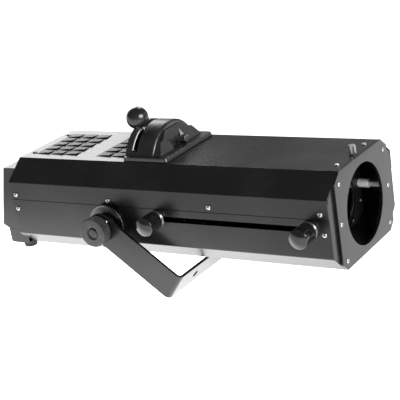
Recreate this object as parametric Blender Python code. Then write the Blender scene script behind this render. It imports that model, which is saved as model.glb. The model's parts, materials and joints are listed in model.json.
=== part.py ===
"""A followspot: an octagonal sheet-metal housing on a U-shaped yoke.

The housing is built level, in its own coordinates: +X is the beam's direction, with x = 0 at the
front bulkhead, the knobs' near side is -Y, and z = 0 is the housing's underside. The lamp stands
on two rubber feet and on its swung yoke, so an empty pitches the finished housing up and lifts it
until both of them touch the table at z = 0. All sizes are in metres.
"""
import math

import bmesh
import bpy
from mathutils import Matrix, Vector

# Fits
SHEET = 0.0015                 # the housing's sheet metal
FIT = 0.0003                   # between pieces that touch
RUNNING_FIT = 0.0005           # between pieces that slide or turn on each other

# Housing
HOUSING_LENGTH = 0.640
HOUSING_HALF_WIDTH = 0.1225
HOUSING_HEIGHT = 0.164
TOP_HALF_WIDTH = 0.080         # half the flat top, between the upper folds
BOTTOM_HALF_WIDTH = 0.085
UPPER_CHAMFER = 0.033          # from the top down to where the side turns in
UPPER_FOLD_HEIGHT = HOUSING_HEIGHT - UPPER_CHAMFER
LOWER_FOLD_HEIGHT = 0.0315
COVER_DEPTH = 0.065            # from the top down to the cover's lower edge, outside the tray
SEAM_HEIGHT = HOUSING_HEIGHT - COVER_DEPTH
LAP = 0.024                    # how far the tray rises inside the cover
BEAM_DROP = 0.001              # the beam's middle, below half the housing's height
BEAM_HEIGHT = HOUSING_HEIGHT / 2 - BEAM_DROP
ENGINE_BAY = 0.290             # from the housing's rear end to the gate wall
GATE_X = -HOUSING_LENGTH + ENGINE_BAY
END_INSET = 0.0225             # the front plate and the rear cover are this much narrower a side
WALL_FLANGE = 0.013            # the return flange of each bulkhead

# Front
FRONT_PLATE_HALF_WIDTH = HOUSING_HALF_WIDTH - END_INSET
FRONT_PLATE_DEPTH = 0.0045     # from the bulkhead's face to the plate's face
FRONT_PLATE_SHEET = 0.0018
FRONT_HOLE_MARGIN = 0.014      # from the lens hole to the housing's top
FRONT_HOLE_RADIUS = HOUSING_HEIGHT / 2 - FRONT_HOLE_MARGIN
BULKHEAD_HOLE_STEP = 0.002     # how much wider the hole behind it is
BULKHEAD_HOLE_RADIUS = FRONT_HOLE_RADIUS + BULKHEAD_HOLE_STEP
RELIEF_SLIT_LENGTH = 0.022     # at the front end of each upper fold
RELIEF_SLIT_WIDTH = 0.0022

# Top vents
VENT_LENGTH = 0.0245
VENT_WIDTH = 0.0150
VENT_COLUMN_PITCH = 0.0315
VENT_ROW_PITCH = 0.0235
VENT_ROWS = 5
REAR_VENT_MARGIN = 0.023       # from the housing's rear end to the first column
REAR_VENT_START = -HOUSING_LENGTH + REAR_VENT_MARGIN
REAR_VENT_COLUMNS = 3
FRONT_VENT_COLUMNS = 2
FRONT_VENT_MARGIN = 0.0145     # from the last column to the dome's base

# Side slots and the lens carriages that ride in them
SLOT_MARGIN = 0.016            # from the gate wall to the slot
SLOT_START = GATE_X + SLOT_MARGIN
SLOT_END = -0.028
SLOT_DROP = 0.0015             # the slot's middle, below the beam's
SLOT_HEIGHT = BEAM_HEIGHT - SLOT_DROP
SLOT_WIDTH = 0.0100
ZOOM_PLACE = 0.0085            # the rear carriage, from the slot's rear end, as photographed
ZOOM_X = SLOT_START + ZOOM_PLACE
FOCUS_PLACE = 0.0090           # the front carriage, from its front end
FOCUS_X = SLOT_END - FOCUS_PLACE
CARRIAGE_PLATE = 0.006
CARRIAGE_INSET = 0.026         # from the housing's side to the plate's edge
CARRIAGE_HALF_WIDTH = HOUSING_HALF_WIDTH - CARRIAGE_INSET
CARRIAGE_BOTTOM = 0.020
CARRIAGE_HEADROOM = 0.022      # under the housing's top
CARRIAGE_TOP = HOUSING_HEIGHT - CARRIAGE_HEADROOM
CARRIAGE_CORNER = 0.026        # the bevelled corners of the carriage plate
FOCUS_LENS_STEP = 0.011        # how much smaller each lens is than what stands before it
FOCUS_LENS_RADIUS = FRONT_HOLE_RADIUS - FOCUS_LENS_STEP
ZOOM_LENS_STEP = 0.011
ZOOM_LENS_RADIUS = FOCUS_LENS_RADIUS - ZOOM_LENS_STEP
LENS_EDGE = 0.0050             # the glass's thickness at its edge
LENS_BULGE = 0.0080            # how far its face stands out over its edge
LENS_LEDGE = 0.0030            # the step in the carriage that the glass rests on
LENS_SEAT_DEPTH = 0.0025
LENS_RING_DEPTH = 0.0045
LENS_RING_WIDTH = 0.0055       # how far the ring reaches outside the glass
LENS_RING_LIP = 0.0025         # and how far it reaches over it
LENS_RING_LIP_DEPTH = 0.0016
ROD_RADIUS = 0.0055
ROD_INSET = 0.0085             # from the carriage's edge to each guide rod
ROD_SPREAD = CARRIAGE_HALF_WIDTH - ROD_INSET
ROD_RISE = 0.001               # the rods' height over the beam's
ROD_HEIGHT = BEAM_HEIGHT + ROD_RISE
PLATE_SETBACK = 0.013          # from a carriage's stud back to the middle of its plate
BEARING_FRONT = 0.0085         # how far its two bearing blocks reach before the stud
BEARING_WIDTH = 0.0185
BEARING_HALF_HEIGHT = 0.0105
ROD_END = 0.003                # how far the rods pass through the gate wall
SLIDE_STUD_RADIUS = 0.0042
SLIDE_STUD_FOOT_RADIUS = 0.0075
SLIDE_STUD_FOOT = 0.006
SLIDE_STUD_GRIP = 0.012        # the thread's length inside the knob
SLIDE_COLLAR_RADIUS = 0.0150
SLIDE_COLLAR_LENGTH = 0.0075
SLIDE_COLLAR_EDGE = 0.001
SLIDE_KNOB_RADIUS = 0.0155
SLIDE_KNOB_LENGTH = 0.0365
SLIDE_KNOB_EDGE = 0.0012       # the rounding of its rims

# Gate, colour sector and ball lever
GATE_RADIUS = 0.021
LEVER_SETBACK = 0.041          # from the gate wall back to the lever
LEVER_X = GATE_X - LEVER_SETBACK
LEVER_DEPTH = 0.017            # under the housing's top
LEVER_HEIGHT = HOUSING_HEIGHT - LEVER_DEPTH    # the lever's shaft, also the dome's centre
LEVER_ANGLE = math.radians(25)     # from upright toward the near side, as photographed
LEVER_SHAFT_RADIUS = 0.004
LEVER_HUB_RADIUS = 0.0105
LEVER_HUB_LENGTH = 0.016
STEM_RADIUS = 0.0042
BALL_RADIUS = 0.0190
BALL_NECK_RADIUS = 0.0068
BALL_CLEARANCE = 0.0029        # between the ball and the dome's skin
SECTOR_SHEET = 0.0015
SECTOR_RIM = 0.0035            # the sheet outside its windows
SECTOR_HUB_RADIUS = 0.0165
SECTOR_STEP = math.radians(30)     # between its windows
SECTOR_EDGE = math.radians(12)     # beyond the outer windows' centres
WINDOW_RADIUS = 0.0125
FILTER_GLASS = 0.0011

# Dome
DOME_RADIUS = 0.0715
DOME_WALL = 0.0025
DOME_REAR = 0.0165             # from the lever to its rear end
DOME_START = LEVER_X - DOME_REAR
DOME_FRONT = 0.030             # and to its front
DOME_END = LEVER_X + DOME_FRONT
DOME_BASE_BEHIND = 0.0015      # how far its base plate reaches behind it
DOME_BASE_START = DOME_START - DOME_BASE_BEHIND
DOME_BASE_BEFORE = 0.037       # before it
DOME_BASE_END = DOME_END + DOME_BASE_BEFORE
DOME_BASE_BESIDE = 0.007       # and beside it
DOME_BASE_HALF_WIDTH = DOME_RADIUS + DOME_BASE_BESIDE
DOME_BASE_SHEET = 0.0045
DOME_BASE_CORNER = 0.003
DOME_OPENING_MARGIN = 0.012    # from the drum's inside to the hole that the lever swings through
DOME_OPENING_CLEARANCE = 0.004     # fore and aft of the lever's hub
DOME_FRONT_EDGE = 0.0065       # the rounding between its skin and its front wall
LEVER_SLOT_WIDTH = 0.0110
LEVER_SLOT_REACH = math.radians(66)    # each way from upright
COWL_DEPTH = 0.018             # how far the cowl stands before the dome
COWL_RISE = 0.0585             # from the lever's shaft up to its flat ridge
COWL_TOP = LEVER_HEIGHT + COWL_RISE
COWL_WALL = 0.0025
COWL_SHOULDER = 0.048          # where its wings start, from the middle
COWL_SHOULDER_RISE = 0.043
COWL_SHOULDER_HEIGHT = LEVER_HEIGHT + COWL_SHOULDER_RISE
COWL_FLARE = 0.004             # how much wider than the drum it is at the base, a side
COWL_FOOT = DOME_RADIUS + COWL_FLARE
NICHE_DEPTH = 0.006
NICHE_RISE = 0.054
NICHE_TOP = LEVER_HEIGHT + NICHE_RISE
NICHE_NEAR = -0.030
NICHE_FAR = 0.034
NICHE_BLOCK_RISE = 0.040       # the block that stays before its near half
NICHE_BLOCK_TOP = LEVER_HEIGHT + NICHE_BLOCK_RISE
NICHE_BLOCK_FAR = -0.008
DOME_KNOB_Y = 0.0130
DOME_KNOB_RISE = 0.0315
DOME_KNOB_HEIGHT = LEVER_HEIGHT + DOME_KNOB_RISE
DOME_KNOB_RADIUS = 0.0070
DOME_KNOB_LENGTH = 0.0180
DOME_KNOB_EDGE = 0.0007
DOME_KNOB_STEM_RADIUS = 0.0024
DOME_KNOB_STEM = 0.007

# Top thumbscrew
THUMBSCREW_X = -0.0085
THUMBSCREW_RADIUS = 0.0060
THUMBSCREW_HEIGHT = 0.0165
THUMBSCREW_NECK = 0.0022
THUMBSCREW_LENGTH = 0.008      # the thread below the cover
THUMBSCREW_SHOULDER = 0.0012   # the washer face under its head
THUMBSCREW_EDGE = 0.0008

# Yoke and its clamps
PIVOT_SETBACK = 0.0337         # from the lever back to the clamps
PIVOT_X = LEVER_X - PIVOT_SETBACK
PIVOT_DROP = 0.0314            # below the cover's lower edge
PIVOT_HEIGHT = SEAM_HEIGHT - PIVOT_DROP
YOKE_ANGLE = math.radians(37.3)    # below the beam's direction, as photographed
YOKE_WIDTH = 0.052
YOKE_BAR = 0.005
YOKE_REACH = 0.168             # from the pivot to the cross-bar's outer face
YOKE_BEND = 0.011              # the outer radius of its two bends
DISC_RADIUS = SEAM_HEIGHT - PIVOT_HEIGHT - 2 * FIT
DISC_THICKNESS = 0.0090
DISC_EDGE = 0.0012
SPACER_RADIUS = 0.0200
SPACER_LENGTH = 0.0112
CLAMP_STUD_RADIUS = 0.0047
CLAMP_STUD_FOOT_RADIUS = 0.014
CLAMP_STUD_FOOT = 0.004        # the weld plate inside the tray
CLAMP_STUD_GRIP = 0.017        # the thread's length inside the knob
CLAMP_HUB_RADIUS = 0.0150
CLAMP_HUB_LENGTH = 0.0110
CLAMP_KNOB_RADIUS = 0.0250
CLAMP_KNOB_LENGTH = 0.0180
CLAMP_KNOB_EDGE = 0.0016
CLAMP_KNOB_RECESS_RADIUS = 0.0095
CLAMP_KNOB_RECESS_DEPTH = 0.0050
MOUNT_HOLE_RADIUS = 0.0065     # for a stand's M12 bolt
MOUNT_HOLE_INSET = 0.0385      # from the housing's side to each outer hole
MOUNT_HOLE_SPREAD = HOUSING_HALF_WIDTH - MOUNT_HOLE_INSET

# Rear
REAR_HALF_WIDTH = HOUSING_HALF_WIDTH - END_INSET
REAR_TOP_DROP = 0.0145         # from the housing's top to the cover's
REAR_TOP = HOUSING_HEIGHT - REAR_TOP_DROP
REAR_BOTTOM = 0.0300
REAR_TOP_DEPTH = 0.0265        # how far the cover stands behind the housing, at its top
REAR_BOTTOM_DEPTH = 0.0550
REAR_CORNER = 0.0070
BASE_DEPTH = 0.0430
BASE_BOTTOM = 0.0020
BASE_CORNER = 0.0060
FOOT_RADIUS = 0.0140
FOOT_HEEL_RADIUS = 0.0109      # where it touches the table
FOOT_HEIGHT = 0.0120
FOOT_EDGE = 0.0010
FOOT_SETBACK = 0.0150          # the feet's centres behind the housing's rear end
FOOT_INSET = 0.0200            # from the rear cover's side to each foot's middle
FOOT_SPREAD = REAR_HALF_WIDTH - FOOT_INSET
GRILLE_SLOTS = 7
GRILLE_RISE = 0.010            # its middle over the beam's height
GRILLE_PITCH = 0.0095
GRILLE_SLOT_WIDTH = 0.0045
GRILLE_HALF_LENGTH = 0.052
INLET_Y = 0.052
INLET_HALF_WIDTH = 0.0135
INLET_DEPTH = 0.022
INLET_WALL = 0.0025
INLET_CORNER = 0.003
SOCKET_DEPTH = 0.014
SWITCH_Y = 0.010
SWITCH_HALF_WIDTH = 0.0105
SWITCH_DEPTH = 0.016
SWITCH_WALL = 0.0018
SWITCH_WELL_DEPTH = 0.012
POWER_MARGIN_BELOW = 0.0065    # from the base's bottom to the inlet and the switch
POWER_BOTTOM = BASE_BOTTOM + POWER_MARGIN_BELOW
POWER_MARGIN_ABOVE = 0.0055
POWER_TOP = REAR_BOTTOM - POWER_MARGIN_ABOVE
POWER_PROUD = 0.0014           # how far both stand out of the base
ROCKER_CLEARANCE = 0.0009
ROCKER_PIVOT_DEPTH = 0.0045
ROCKER_TILT = math.radians(6)  # at rest, with its far end out
ROCKER_BACK = 0.0035           # from its pivot in, and to its shoulder, crest and dip out
ROCKER_SHOULDER = 0.0020
ROCKER_CREST = 0.0052
ROCKER_DIP = 0.0036
ROCKER_TAPER = 0.0023
ROCKER_EDGE = 0.0008

# Light engine and power
SUPPLY_LENGTH = 0.130
SUPPLY_HALF_WIDTH = 0.045
SUPPLY_HEIGHT = 0.024
SUPPLY_GAP = 0.0155            # between the fan and the supply
SINK_REACH = 0.135             # from the housing's rear end to its base's face
SINK_FRONT = -HOUSING_LENGTH + SINK_REACH
SINK_LENGTH = 0.090
SINK_BASE = 0.009
SINK_HALF_WIDTH = 0.058
SINK_CLEARANCE = 0.0007        # over the power supply
SINK_BOTTOM = SHEET + FIT + SUPPLY_HEIGHT + SINK_CLEARANCE
BRACKET_FOOT = 0.020
BRACKET_LENGTH = 0.045
BRACKET_SETBACK = 0.010
BRACKET_RISE = 0.010           # its top over the beam's height
FIN_COUNT = 13
FIN_THICKNESS = 0.0022
LED_BOARD_RADIUS = 0.026
LED_BOARD_SHEET = 0.003
EMITTER_RADIUS = 0.0115
EMITTER_HEIGHT = 0.0018
CONDENSER_RADIUS = 0.030
CONDENSER_TUBE_WALL = 0.003
CONDENSER_TUBE_LENGTH = 0.062
CONDENSER_FLANGE = 0.007
CONDENSER_FLANGE_SHEET = 0.003
CONDENSER_SEAT = 0.014         # the lens's seat behind the tube's front end
CONDENSER_SEAT_LEDGE = 0.003
CONDENSER_SEAT_SHEET = 0.002
CONDENSER_EDGE = 0.003
CONDENSER_BULGE = 0.0095
FAN_HALF_SIZE = 0.060
FAN_DEPTH = 0.025
FAN_CORNER = 0.006
FAN_RIM = 0.0035               # the frame's least wall round its duct
FAN_WALL_RADIUS = FAN_HALF_SIZE - FAN_RIM
FAN_HUB_RADIUS = 0.0195
FAN_SPIDER_DEPTH = 0.003
FAN_ARM_WIDTH = 0.0035
FAN_TIP_CLEARANCE = 0.0015
FAN_BLADES = 7
BLADE_ROOT = 0.50              # of the pitch that a blade's hub end leaves free
BLADE_TIP = 0.42               # of the pitch that its tip spans
BLADE_LEAN = 0.35              # of the pitch that its tip leans ahead
AIR_INLETS = 6                 # in the tray's floor, on each side
AIR_INLET_PITCH = 0.011
AIR_INLET_START = 0.012        # before the heat sink's face, and off the middle
AIR_INLET_END = 0.070

# Finishes: base colour, roughness, metallic
BLACK_COAT = ((0.030, 0.030, 0.032, 1.0), 0.42, 0.0)
BLACK_PLASTIC = ((0.022, 0.022, 0.023, 1.0), 0.38, 0.0)
BLACK_GLOSS = ((0.012, 0.012, 0.013, 1.0), 0.10, 0.0)
RUBBER = ((0.018, 0.018, 0.018, 1.0), 0.85, 0.0)
STEEL = ((0.62, 0.62, 0.63, 1.0), 0.28, 1.0)
ALUMINIUM = ((0.72, 0.72, 0.74, 1.0), 0.35, 1.0)
DARK_ALUMINIUM = ((0.20, 0.20, 0.21, 1.0), 0.40, 1.0)
GLASS = ((0.80, 0.86, 0.88, 1.0), 0.04, 0.0)
EMITTER_YELLOW = ((0.85, 0.70, 0.20, 1.0), 0.50, 0.0)
CIRCUIT_WHITE = ((0.80, 0.80, 0.78, 1.0), 0.50, 0.0)
AMBER_GLASS = ((0.85, 0.45, 0.10, 1.0), 0.06, 0.0)
BLUE_GLASS = ((0.10, 0.30, 0.80, 1.0), 0.06, 0.0)


# Outlines
def shifted(points, distance, closed=False):
    """Moves a 2-D path to its left by a distance, with mitred corners."""
    count = len(points)
    moved = []
    for i, point in enumerate(points):
        here = Vector(point)
        before = here - Vector(points[i - 1]) if closed or i > 0 else None
        after = Vector(points[(i + 1) % count]) - here if closed or i < count - 1 else None
        before = after if before is None else before
        after = before if after is None else after
        normal_a = Vector((-before.y, before.x)).normalized()
        normal_b = Vector((-after.y, after.x)).normalized()
        mitre = (normal_a + normal_b).normalized()
        moved.append(tuple(here + mitre * (distance / mitre.dot(normal_a))))
    return moved


def folded_sheet(path, thickness):
    """Gives the closed outline of a sheet folded along a path, thickened to the path's left."""
    return list(path) + list(reversed(shifted(path, thickness)))


def arc(centre, radius, start, end, steps):
    """Gives the points of a circular arc, both ends included. Angles run from the first axis."""
    return [(centre[0] + radius * math.cos(start + (end - start) * i / steps),
             centre[1] + radius * math.sin(start + (end - start) * i / steps))
            for i in range(steps + 1)]


def rounded(points, radii, steps=4):
    """Rounds the corners of a closed outline; each corner has its own radius, or 0 for sharp."""
    result = []
    count = len(points)
    for i, point in enumerate(points):
        if radii[i] == 0:
            result.append(point)
            continue
        corner = Vector(point)
        to_last = (Vector(points[i - 1]) - corner).normalized()
        to_next = (Vector(points[(i + 1) % count]) - corner).normalized()
        half = to_last.angle(to_next) / 2
        centre = corner + (to_last + to_next).normalized() * (radii[i] / math.sin(half))
        first = corner + to_last * (radii[i] / math.tan(half)) - centre
        last = corner + to_next * (radii[i] / math.tan(half)) - centre
        turn = first.angle_signed(last)
        for k in range(steps + 1):
            angle = -turn * k / steps
            result.append((centre.x + first.x * math.cos(angle) - first.y * math.sin(angle),
                           centre.y + first.x * math.sin(angle) + first.y * math.cos(angle)))
    return result


def rectangle(a0, a1, b0, b1):
    """Gives an upright rectangle's corners."""
    return [(a0, b0), (a1, b0), (a1, b1), (a0, b1)]


def stadium(a0, a1, middle, width, steps=8):
    """Gives a slot with round ends that runs along the first axis."""
    radius = width / 2
    return (arc((a1 - radius, middle), radius, -math.pi / 2, math.pi / 2, steps)
            + arc((a0 + radius, middle), radius, math.pi / 2, math.pi * 1.5, steps))


def cover_path():
    """The upper cover's outer face in the YZ plane, from the far seam over the top."""
    return [(HOUSING_HALF_WIDTH, SEAM_HEIGHT), (HOUSING_HALF_WIDTH, UPPER_FOLD_HEIGHT),
            (TOP_HALF_WIDTH, HOUSING_HEIGHT), (-TOP_HALF_WIDTH, HOUSING_HEIGHT),
            (-HOUSING_HALF_WIDTH, UPPER_FOLD_HEIGHT), (-HOUSING_HALF_WIDTH, SEAM_HEIGHT)]


def tray_half_width():
    """The tray's outer face lies inside the cover's sheet."""
    return HOUSING_HALF_WIDTH - SHEET - FIT


def tray_path():
    """The lower tray's outer face in the YZ plane, from the near side under the bottom."""
    half = tray_half_width()
    rim = SEAM_HEIGHT + LAP
    return [(-half, rim), (-half, LOWER_FOLD_HEIGHT), (-BOTTOM_HALF_WIDTH, 0.0),
            (BOTTOM_HALF_WIDTH, 0.0), (half, LOWER_FOLD_HEIGHT), (half, rim)]


def inner_outline():
    """The housing's clear section, with a fit all round, for the bulkheads. It runs clockwise
    seen along +X, so that its left side is the inside."""
    half = tray_half_width()
    octagon = [(-BOTTOM_HALF_WIDTH, 0.0), (BOTTOM_HALF_WIDTH, 0.0), (half, LOWER_FOLD_HEIGHT),
               (half, UPPER_FOLD_HEIGHT), (TOP_HALF_WIDTH, HOUSING_HEIGHT),
               (-TOP_HALF_WIDTH, HOUSING_HEIGHT), (-half, UPPER_FOLD_HEIGHT),
               (-half, LOWER_FOLD_HEIGHT)]
    return shifted(octagon, SHEET + FIT, closed=True)


def side_section(half_width):
    """The housing's full outline, cut off upright at a half width."""
    upper = HOUSING_HEIGHT - ((half_width - TOP_HALF_WIDTH) * (HOUSING_HEIGHT - UPPER_FOLD_HEIGHT)
                              / (HOUSING_HALF_WIDTH - TOP_HALF_WIDTH))
    lower = ((half_width - BOTTOM_HALF_WIDTH) * LOWER_FOLD_HEIGHT
             / (tray_half_width() - BOTTOM_HALF_WIDTH))
    return [(-BOTTOM_HALF_WIDTH, 0.0), (BOTTOM_HALF_WIDTH, 0.0), (half_width, lower),
            (half_width, upper), (TOP_HALF_WIDTH, HOUSING_HEIGHT),
            (-TOP_HALF_WIDTH, HOUSING_HEIGHT), (-half_width, upper), (-half_width, lower)]


# Solids
AXES = {"X": Vector((1, 0, 0)), "Y": Vector((0, 1, 0)), "Z": Vector((0, 0, 1))}


def in_space(axis, along, a, b):
    """Puts a point of an outline into space: X takes (y, z), Y takes (x, z), Z takes (x, y)."""
    return {"X": (along, a, b), "Y": (a, along, b), "Z": (a, b, along)}[axis]


def prism(bm, outline, axis, start, end):
    """Extrudes a closed outline along an axis."""
    verts = [bm.verts.new(in_space(axis, start, a, b)) for a, b in outline]
    cap = bm.faces.new(verts)
    grown = bmesh.ops.extrude_face_region(bm, geom=[cap], use_keep_orig=True)
    moved = [item for item in grown["geom"] if isinstance(item, bmesh.types.BMVert)]
    bmesh.ops.translate(bm, verts=moved, vec=AXES[axis] * (end - start))


def box(bm, x0, x1, y0, y1, z0, z1):
    """Adds a block between six planes."""
    prism(bm, rectangle(x0, x1, y0, y1), "Z", z0, z1)


def lathe(bm, profile, axis, centre=(0, 0, 0), steps=32):
    """Spins a profile of (radius, along) points round an axis. A profile that starts and ends on
    the axis gives a full solid, any other one is closed into a ring."""
    on_axis = profile[0][0] == 0 and profile[-1][0] == 0
    verts = []
    for radius, along in profile:
        point = {"X": (along, radius, 0), "Y": (radius, along, 0), "Z": (radius, 0, along)}[axis]
        verts.append(bm.verts.new(Vector(point) + Vector(centre)))
    pairs = list(zip(verts, verts[1:])) + ([] if on_axis else [(verts[-1], verts[0])])
    edges = [bm.edges.new(pair) for pair in pairs]
    before = set(bm.verts) - set(verts)
    bmesh.ops.spin(bm, geom=verts + edges, cent=centre, axis=AXES[axis], dvec=(0, 0, 0),
                   angle=math.tau, steps=steps, use_merge=True, use_duplicate=False)
    new_verts = [vert for vert in bm.verts if vert not in before]
    bmesh.ops.remove_doubles(bm, verts=new_verts, dist=1e-6)


def disc(bm, axis, centre, radius, start, end, steps=32):
    """Adds a plain cylinder; start and end are measured along the axis from its centre."""
    lathe(bm, [(0, start), (radius, start), (radius, end), (0, end)], axis, centre, steps)


def rim_profile(radius, start, end, edge, steps=2):
    """The (radius, along) profile of a cylinder with rounded rims."""
    low = arc((radius - edge, start + edge), edge, -math.pi / 2, 0, steps)
    high = arc((radius - edge, end - edge), edge, 0, math.pi / 2, steps)
    return [(0, start)] + low + high + [(0, end)]


# Objects
def finish_for(name, finish):
    """Makes a piece's own material."""
    colour, roughness, metallic = finish
    material = bpy.data.materials.new(name + "_finish")
    material.use_nodes = True
    shader = material.node_tree.nodes["Principled BSDF"]
    shader.inputs["Base Color"].default_value = colour
    shader.inputs["Roughness"].default_value = roughness
    shader.inputs["Metallic"].default_value = metallic
    material.diffuse_color = colour
    return material


def add_piece(name, bm, finish, parent, location=(0, 0, 0)):
    """Turns a bmesh into a named object with its own material, smooth but for its sharp edges."""
    bmesh.ops.recalc_face_normals(bm, faces=bm.faces)
    mesh = bpy.data.meshes.new(name)
    bm.to_mesh(mesh)
    bm.free()
    for face in mesh.polygons:
        face.use_smooth = True
    mesh.set_sharp_from_angle(angle=math.radians(30))
    mesh.materials.append(finish_for(name, finish))
    piece = bpy.data.objects.new(name, mesh)
    bpy.context.scene.collection.objects.link(piece)
    piece.parent = parent
    piece.location = location
    return piece


def add_empty(name, parent=None, location=(0, 0, 0), rotation=(0, 0, 0)):
    """Adds an empty, which places a group or stands on a joint's axis."""
    empty = bpy.data.objects.new(name, None)
    bpy.context.scene.collection.objects.link(empty)
    empty.parent = parent
    empty.location = location
    empty.rotation_euler = rotation
    return empty


def cut(piece, bm, label="cutter", operation="DIFFERENCE"):
    """Cuts a bmesh's solids out of a piece, or joins them to it. They lie in its coordinates."""
    bmesh.ops.recalc_face_normals(bm, faces=bm.faces)
    mesh = bpy.data.meshes.new(f"{piece.name}_{label}")
    bm.to_mesh(mesh)
    bm.free()
    cutter = bpy.data.objects.new(mesh.name, mesh)
    bpy.context.scene.collection.objects.link(cutter)
    cutter.parent = piece.parent
    cutter.location = piece.location
    cutter.hide_render = True
    cutter.display_type = "WIRE"
    modifier = piece.modifiers.new(label, "BOOLEAN")
    modifier.operation = operation
    modifier.solver = "EXACT"
    modifier.object = cutter


# Housing
def pan(name, outline, back, front, sheet, finish, parent):
    """Makes a plate with a flange that returns backward all round, seen from +X."""
    bm = bmesh.new()
    prism(bm, outline, "X", back, front)
    piece = add_piece(name, bm, finish, parent)
    pocket = bmesh.new()
    prism(pocket, shifted(outline, sheet, closed=True), "X", back - sheet, front - sheet)
    cut(piece, pocket, "pocket")
    return piece


def build_cover(parent):
    """The upper cover: one folded sheet with the vents, the dome's opening and the slits."""
    bm = bmesh.new()
    prism(bm, folded_sheet(cover_path(), SHEET), "X", -HOUSING_LENGTH, 0.0)
    cover = add_piece("upper_cover", bm, BLACK_COAT, parent)
    holes = bmesh.new()
    low, high = HOUSING_HEIGHT - 3 * SHEET, HOUSING_HEIGHT + SHEET
    front_vent_start = (DOME_BASE_START - FRONT_VENT_MARGIN - VENT_LENGTH
                        - (FRONT_VENT_COLUMNS - 1) * VENT_COLUMN_PITCH)
    groups = ((REAR_VENT_START, REAR_VENT_COLUMNS), (front_vent_start, FRONT_VENT_COLUMNS))
    for start, columns in groups:
        for column in range(columns):
            for row in range(VENT_ROWS):
                x = start + column * VENT_COLUMN_PITCH
                y = (row - (VENT_ROWS - 1) / 2) * VENT_ROW_PITCH
                box(holes, x, x + VENT_LENGTH, y - VENT_WIDTH / 2, y + VENT_WIDTH / 2, low, high)
    opening = dome_opening()
    box(holes, *opening, low, high)
    disc(holes, "Z", (THUMBSCREW_X, 0, 0), THUMBSCREW_NECK + RUNNING_FIT, low, high, 16)
    for side in (-1, 1):
        fold = side * TOP_HALF_WIDTH
        box(holes, -RELIEF_SLIT_LENGTH, SHEET, fold - RELIEF_SLIT_WIDTH / 2,
            fold + RELIEF_SLIT_WIDTH / 2, low, high)
    cut(cover, holes, "openings")
    return cover


def dome_opening():
    """The hole in the cover, under the dome, that the lever swings through: x and y limits."""
    along = LEVER_HUB_LENGTH / 2 + DOME_OPENING_CLEARANCE
    half = DOME_RADIUS - DOME_WALL - DOME_OPENING_MARGIN
    return LEVER_X - along, LEVER_X + along, -half, half


def build_tray(parent):
    """The lower tray: one folded sheet with the lens slot, stud holes and air inlets."""
    bm = bmesh.new()
    prism(bm, folded_sheet(tray_path(), SHEET), "X", -HOUSING_LENGTH, 0.0)
    tray = add_piece("lower_tray", bm, BLACK_COAT, parent)
    holes = bmesh.new()
    outside, inside = tray_half_width() + SHEET, tray_half_width() - 3 * SHEET
    prism(holes, stadium(SLOT_START, SLOT_END, SLOT_HEIGHT, SLOT_WIDTH), "Y", -inside, -outside)
    for side in (-1, 1):
        limits = (side * inside, side * outside)
        lathe(holes, [(0, limits[0]), (CLAMP_STUD_RADIUS + FIT, limits[0]),
                      (CLAMP_STUD_RADIUS + FIT, limits[1]), (0, limits[1])], "Y",
              (PIVOT_X, 0, PIVOT_HEIGHT), 24)
    for i in range(AIR_INLETS):
        x = SINK_FRONT + AIR_INLET_START + i * AIR_INLET_PITCH
        for side in (-1, 1):
            limits = sorted((side * AIR_INLET_START, side * AIR_INLET_END))
            box(holes, x, x + AIR_INLET_PITCH / 2, *limits, -SHEET, 3 * SHEET)
    cut(tray, holes, "openings")
    return tray


def build_front(parent):
    """The front bulkhead and the raised plate before it, with the lens hole."""
    bulkhead = pan("front_bulkhead", inner_outline(), -WALL_FLANGE, 0.0, SHEET, BLACK_COAT, parent)
    holes = bmesh.new()
    disc(holes, "X", (0, 0, BEAM_HEIGHT), BULKHEAD_HOLE_RADIUS, -2 * SHEET, SHEET, 48)
    disc(holes, "Z", (THUMBSCREW_X, 0, 0), THUMBSCREW_NECK + FIT,
         HOUSING_HEIGHT - 5 * SHEET, HOUSING_HEIGHT + SHEET, 16)
    cut(bulkhead, holes, "holes")
    plate = pan("front_plate", side_section(FRONT_PLATE_HALF_WIDTH), FIT, FRONT_PLATE_DEPTH,
                FRONT_PLATE_SHEET, BLACK_COAT, parent)
    hole = bmesh.new()
    disc(hole, "X", (0, 0, BEAM_HEIGHT), FRONT_HOLE_RADIUS, -FRONT_PLATE_DEPTH,
         2 * FRONT_PLATE_DEPTH, 72)
    cut(plate, hole, "lens_hole")


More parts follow.
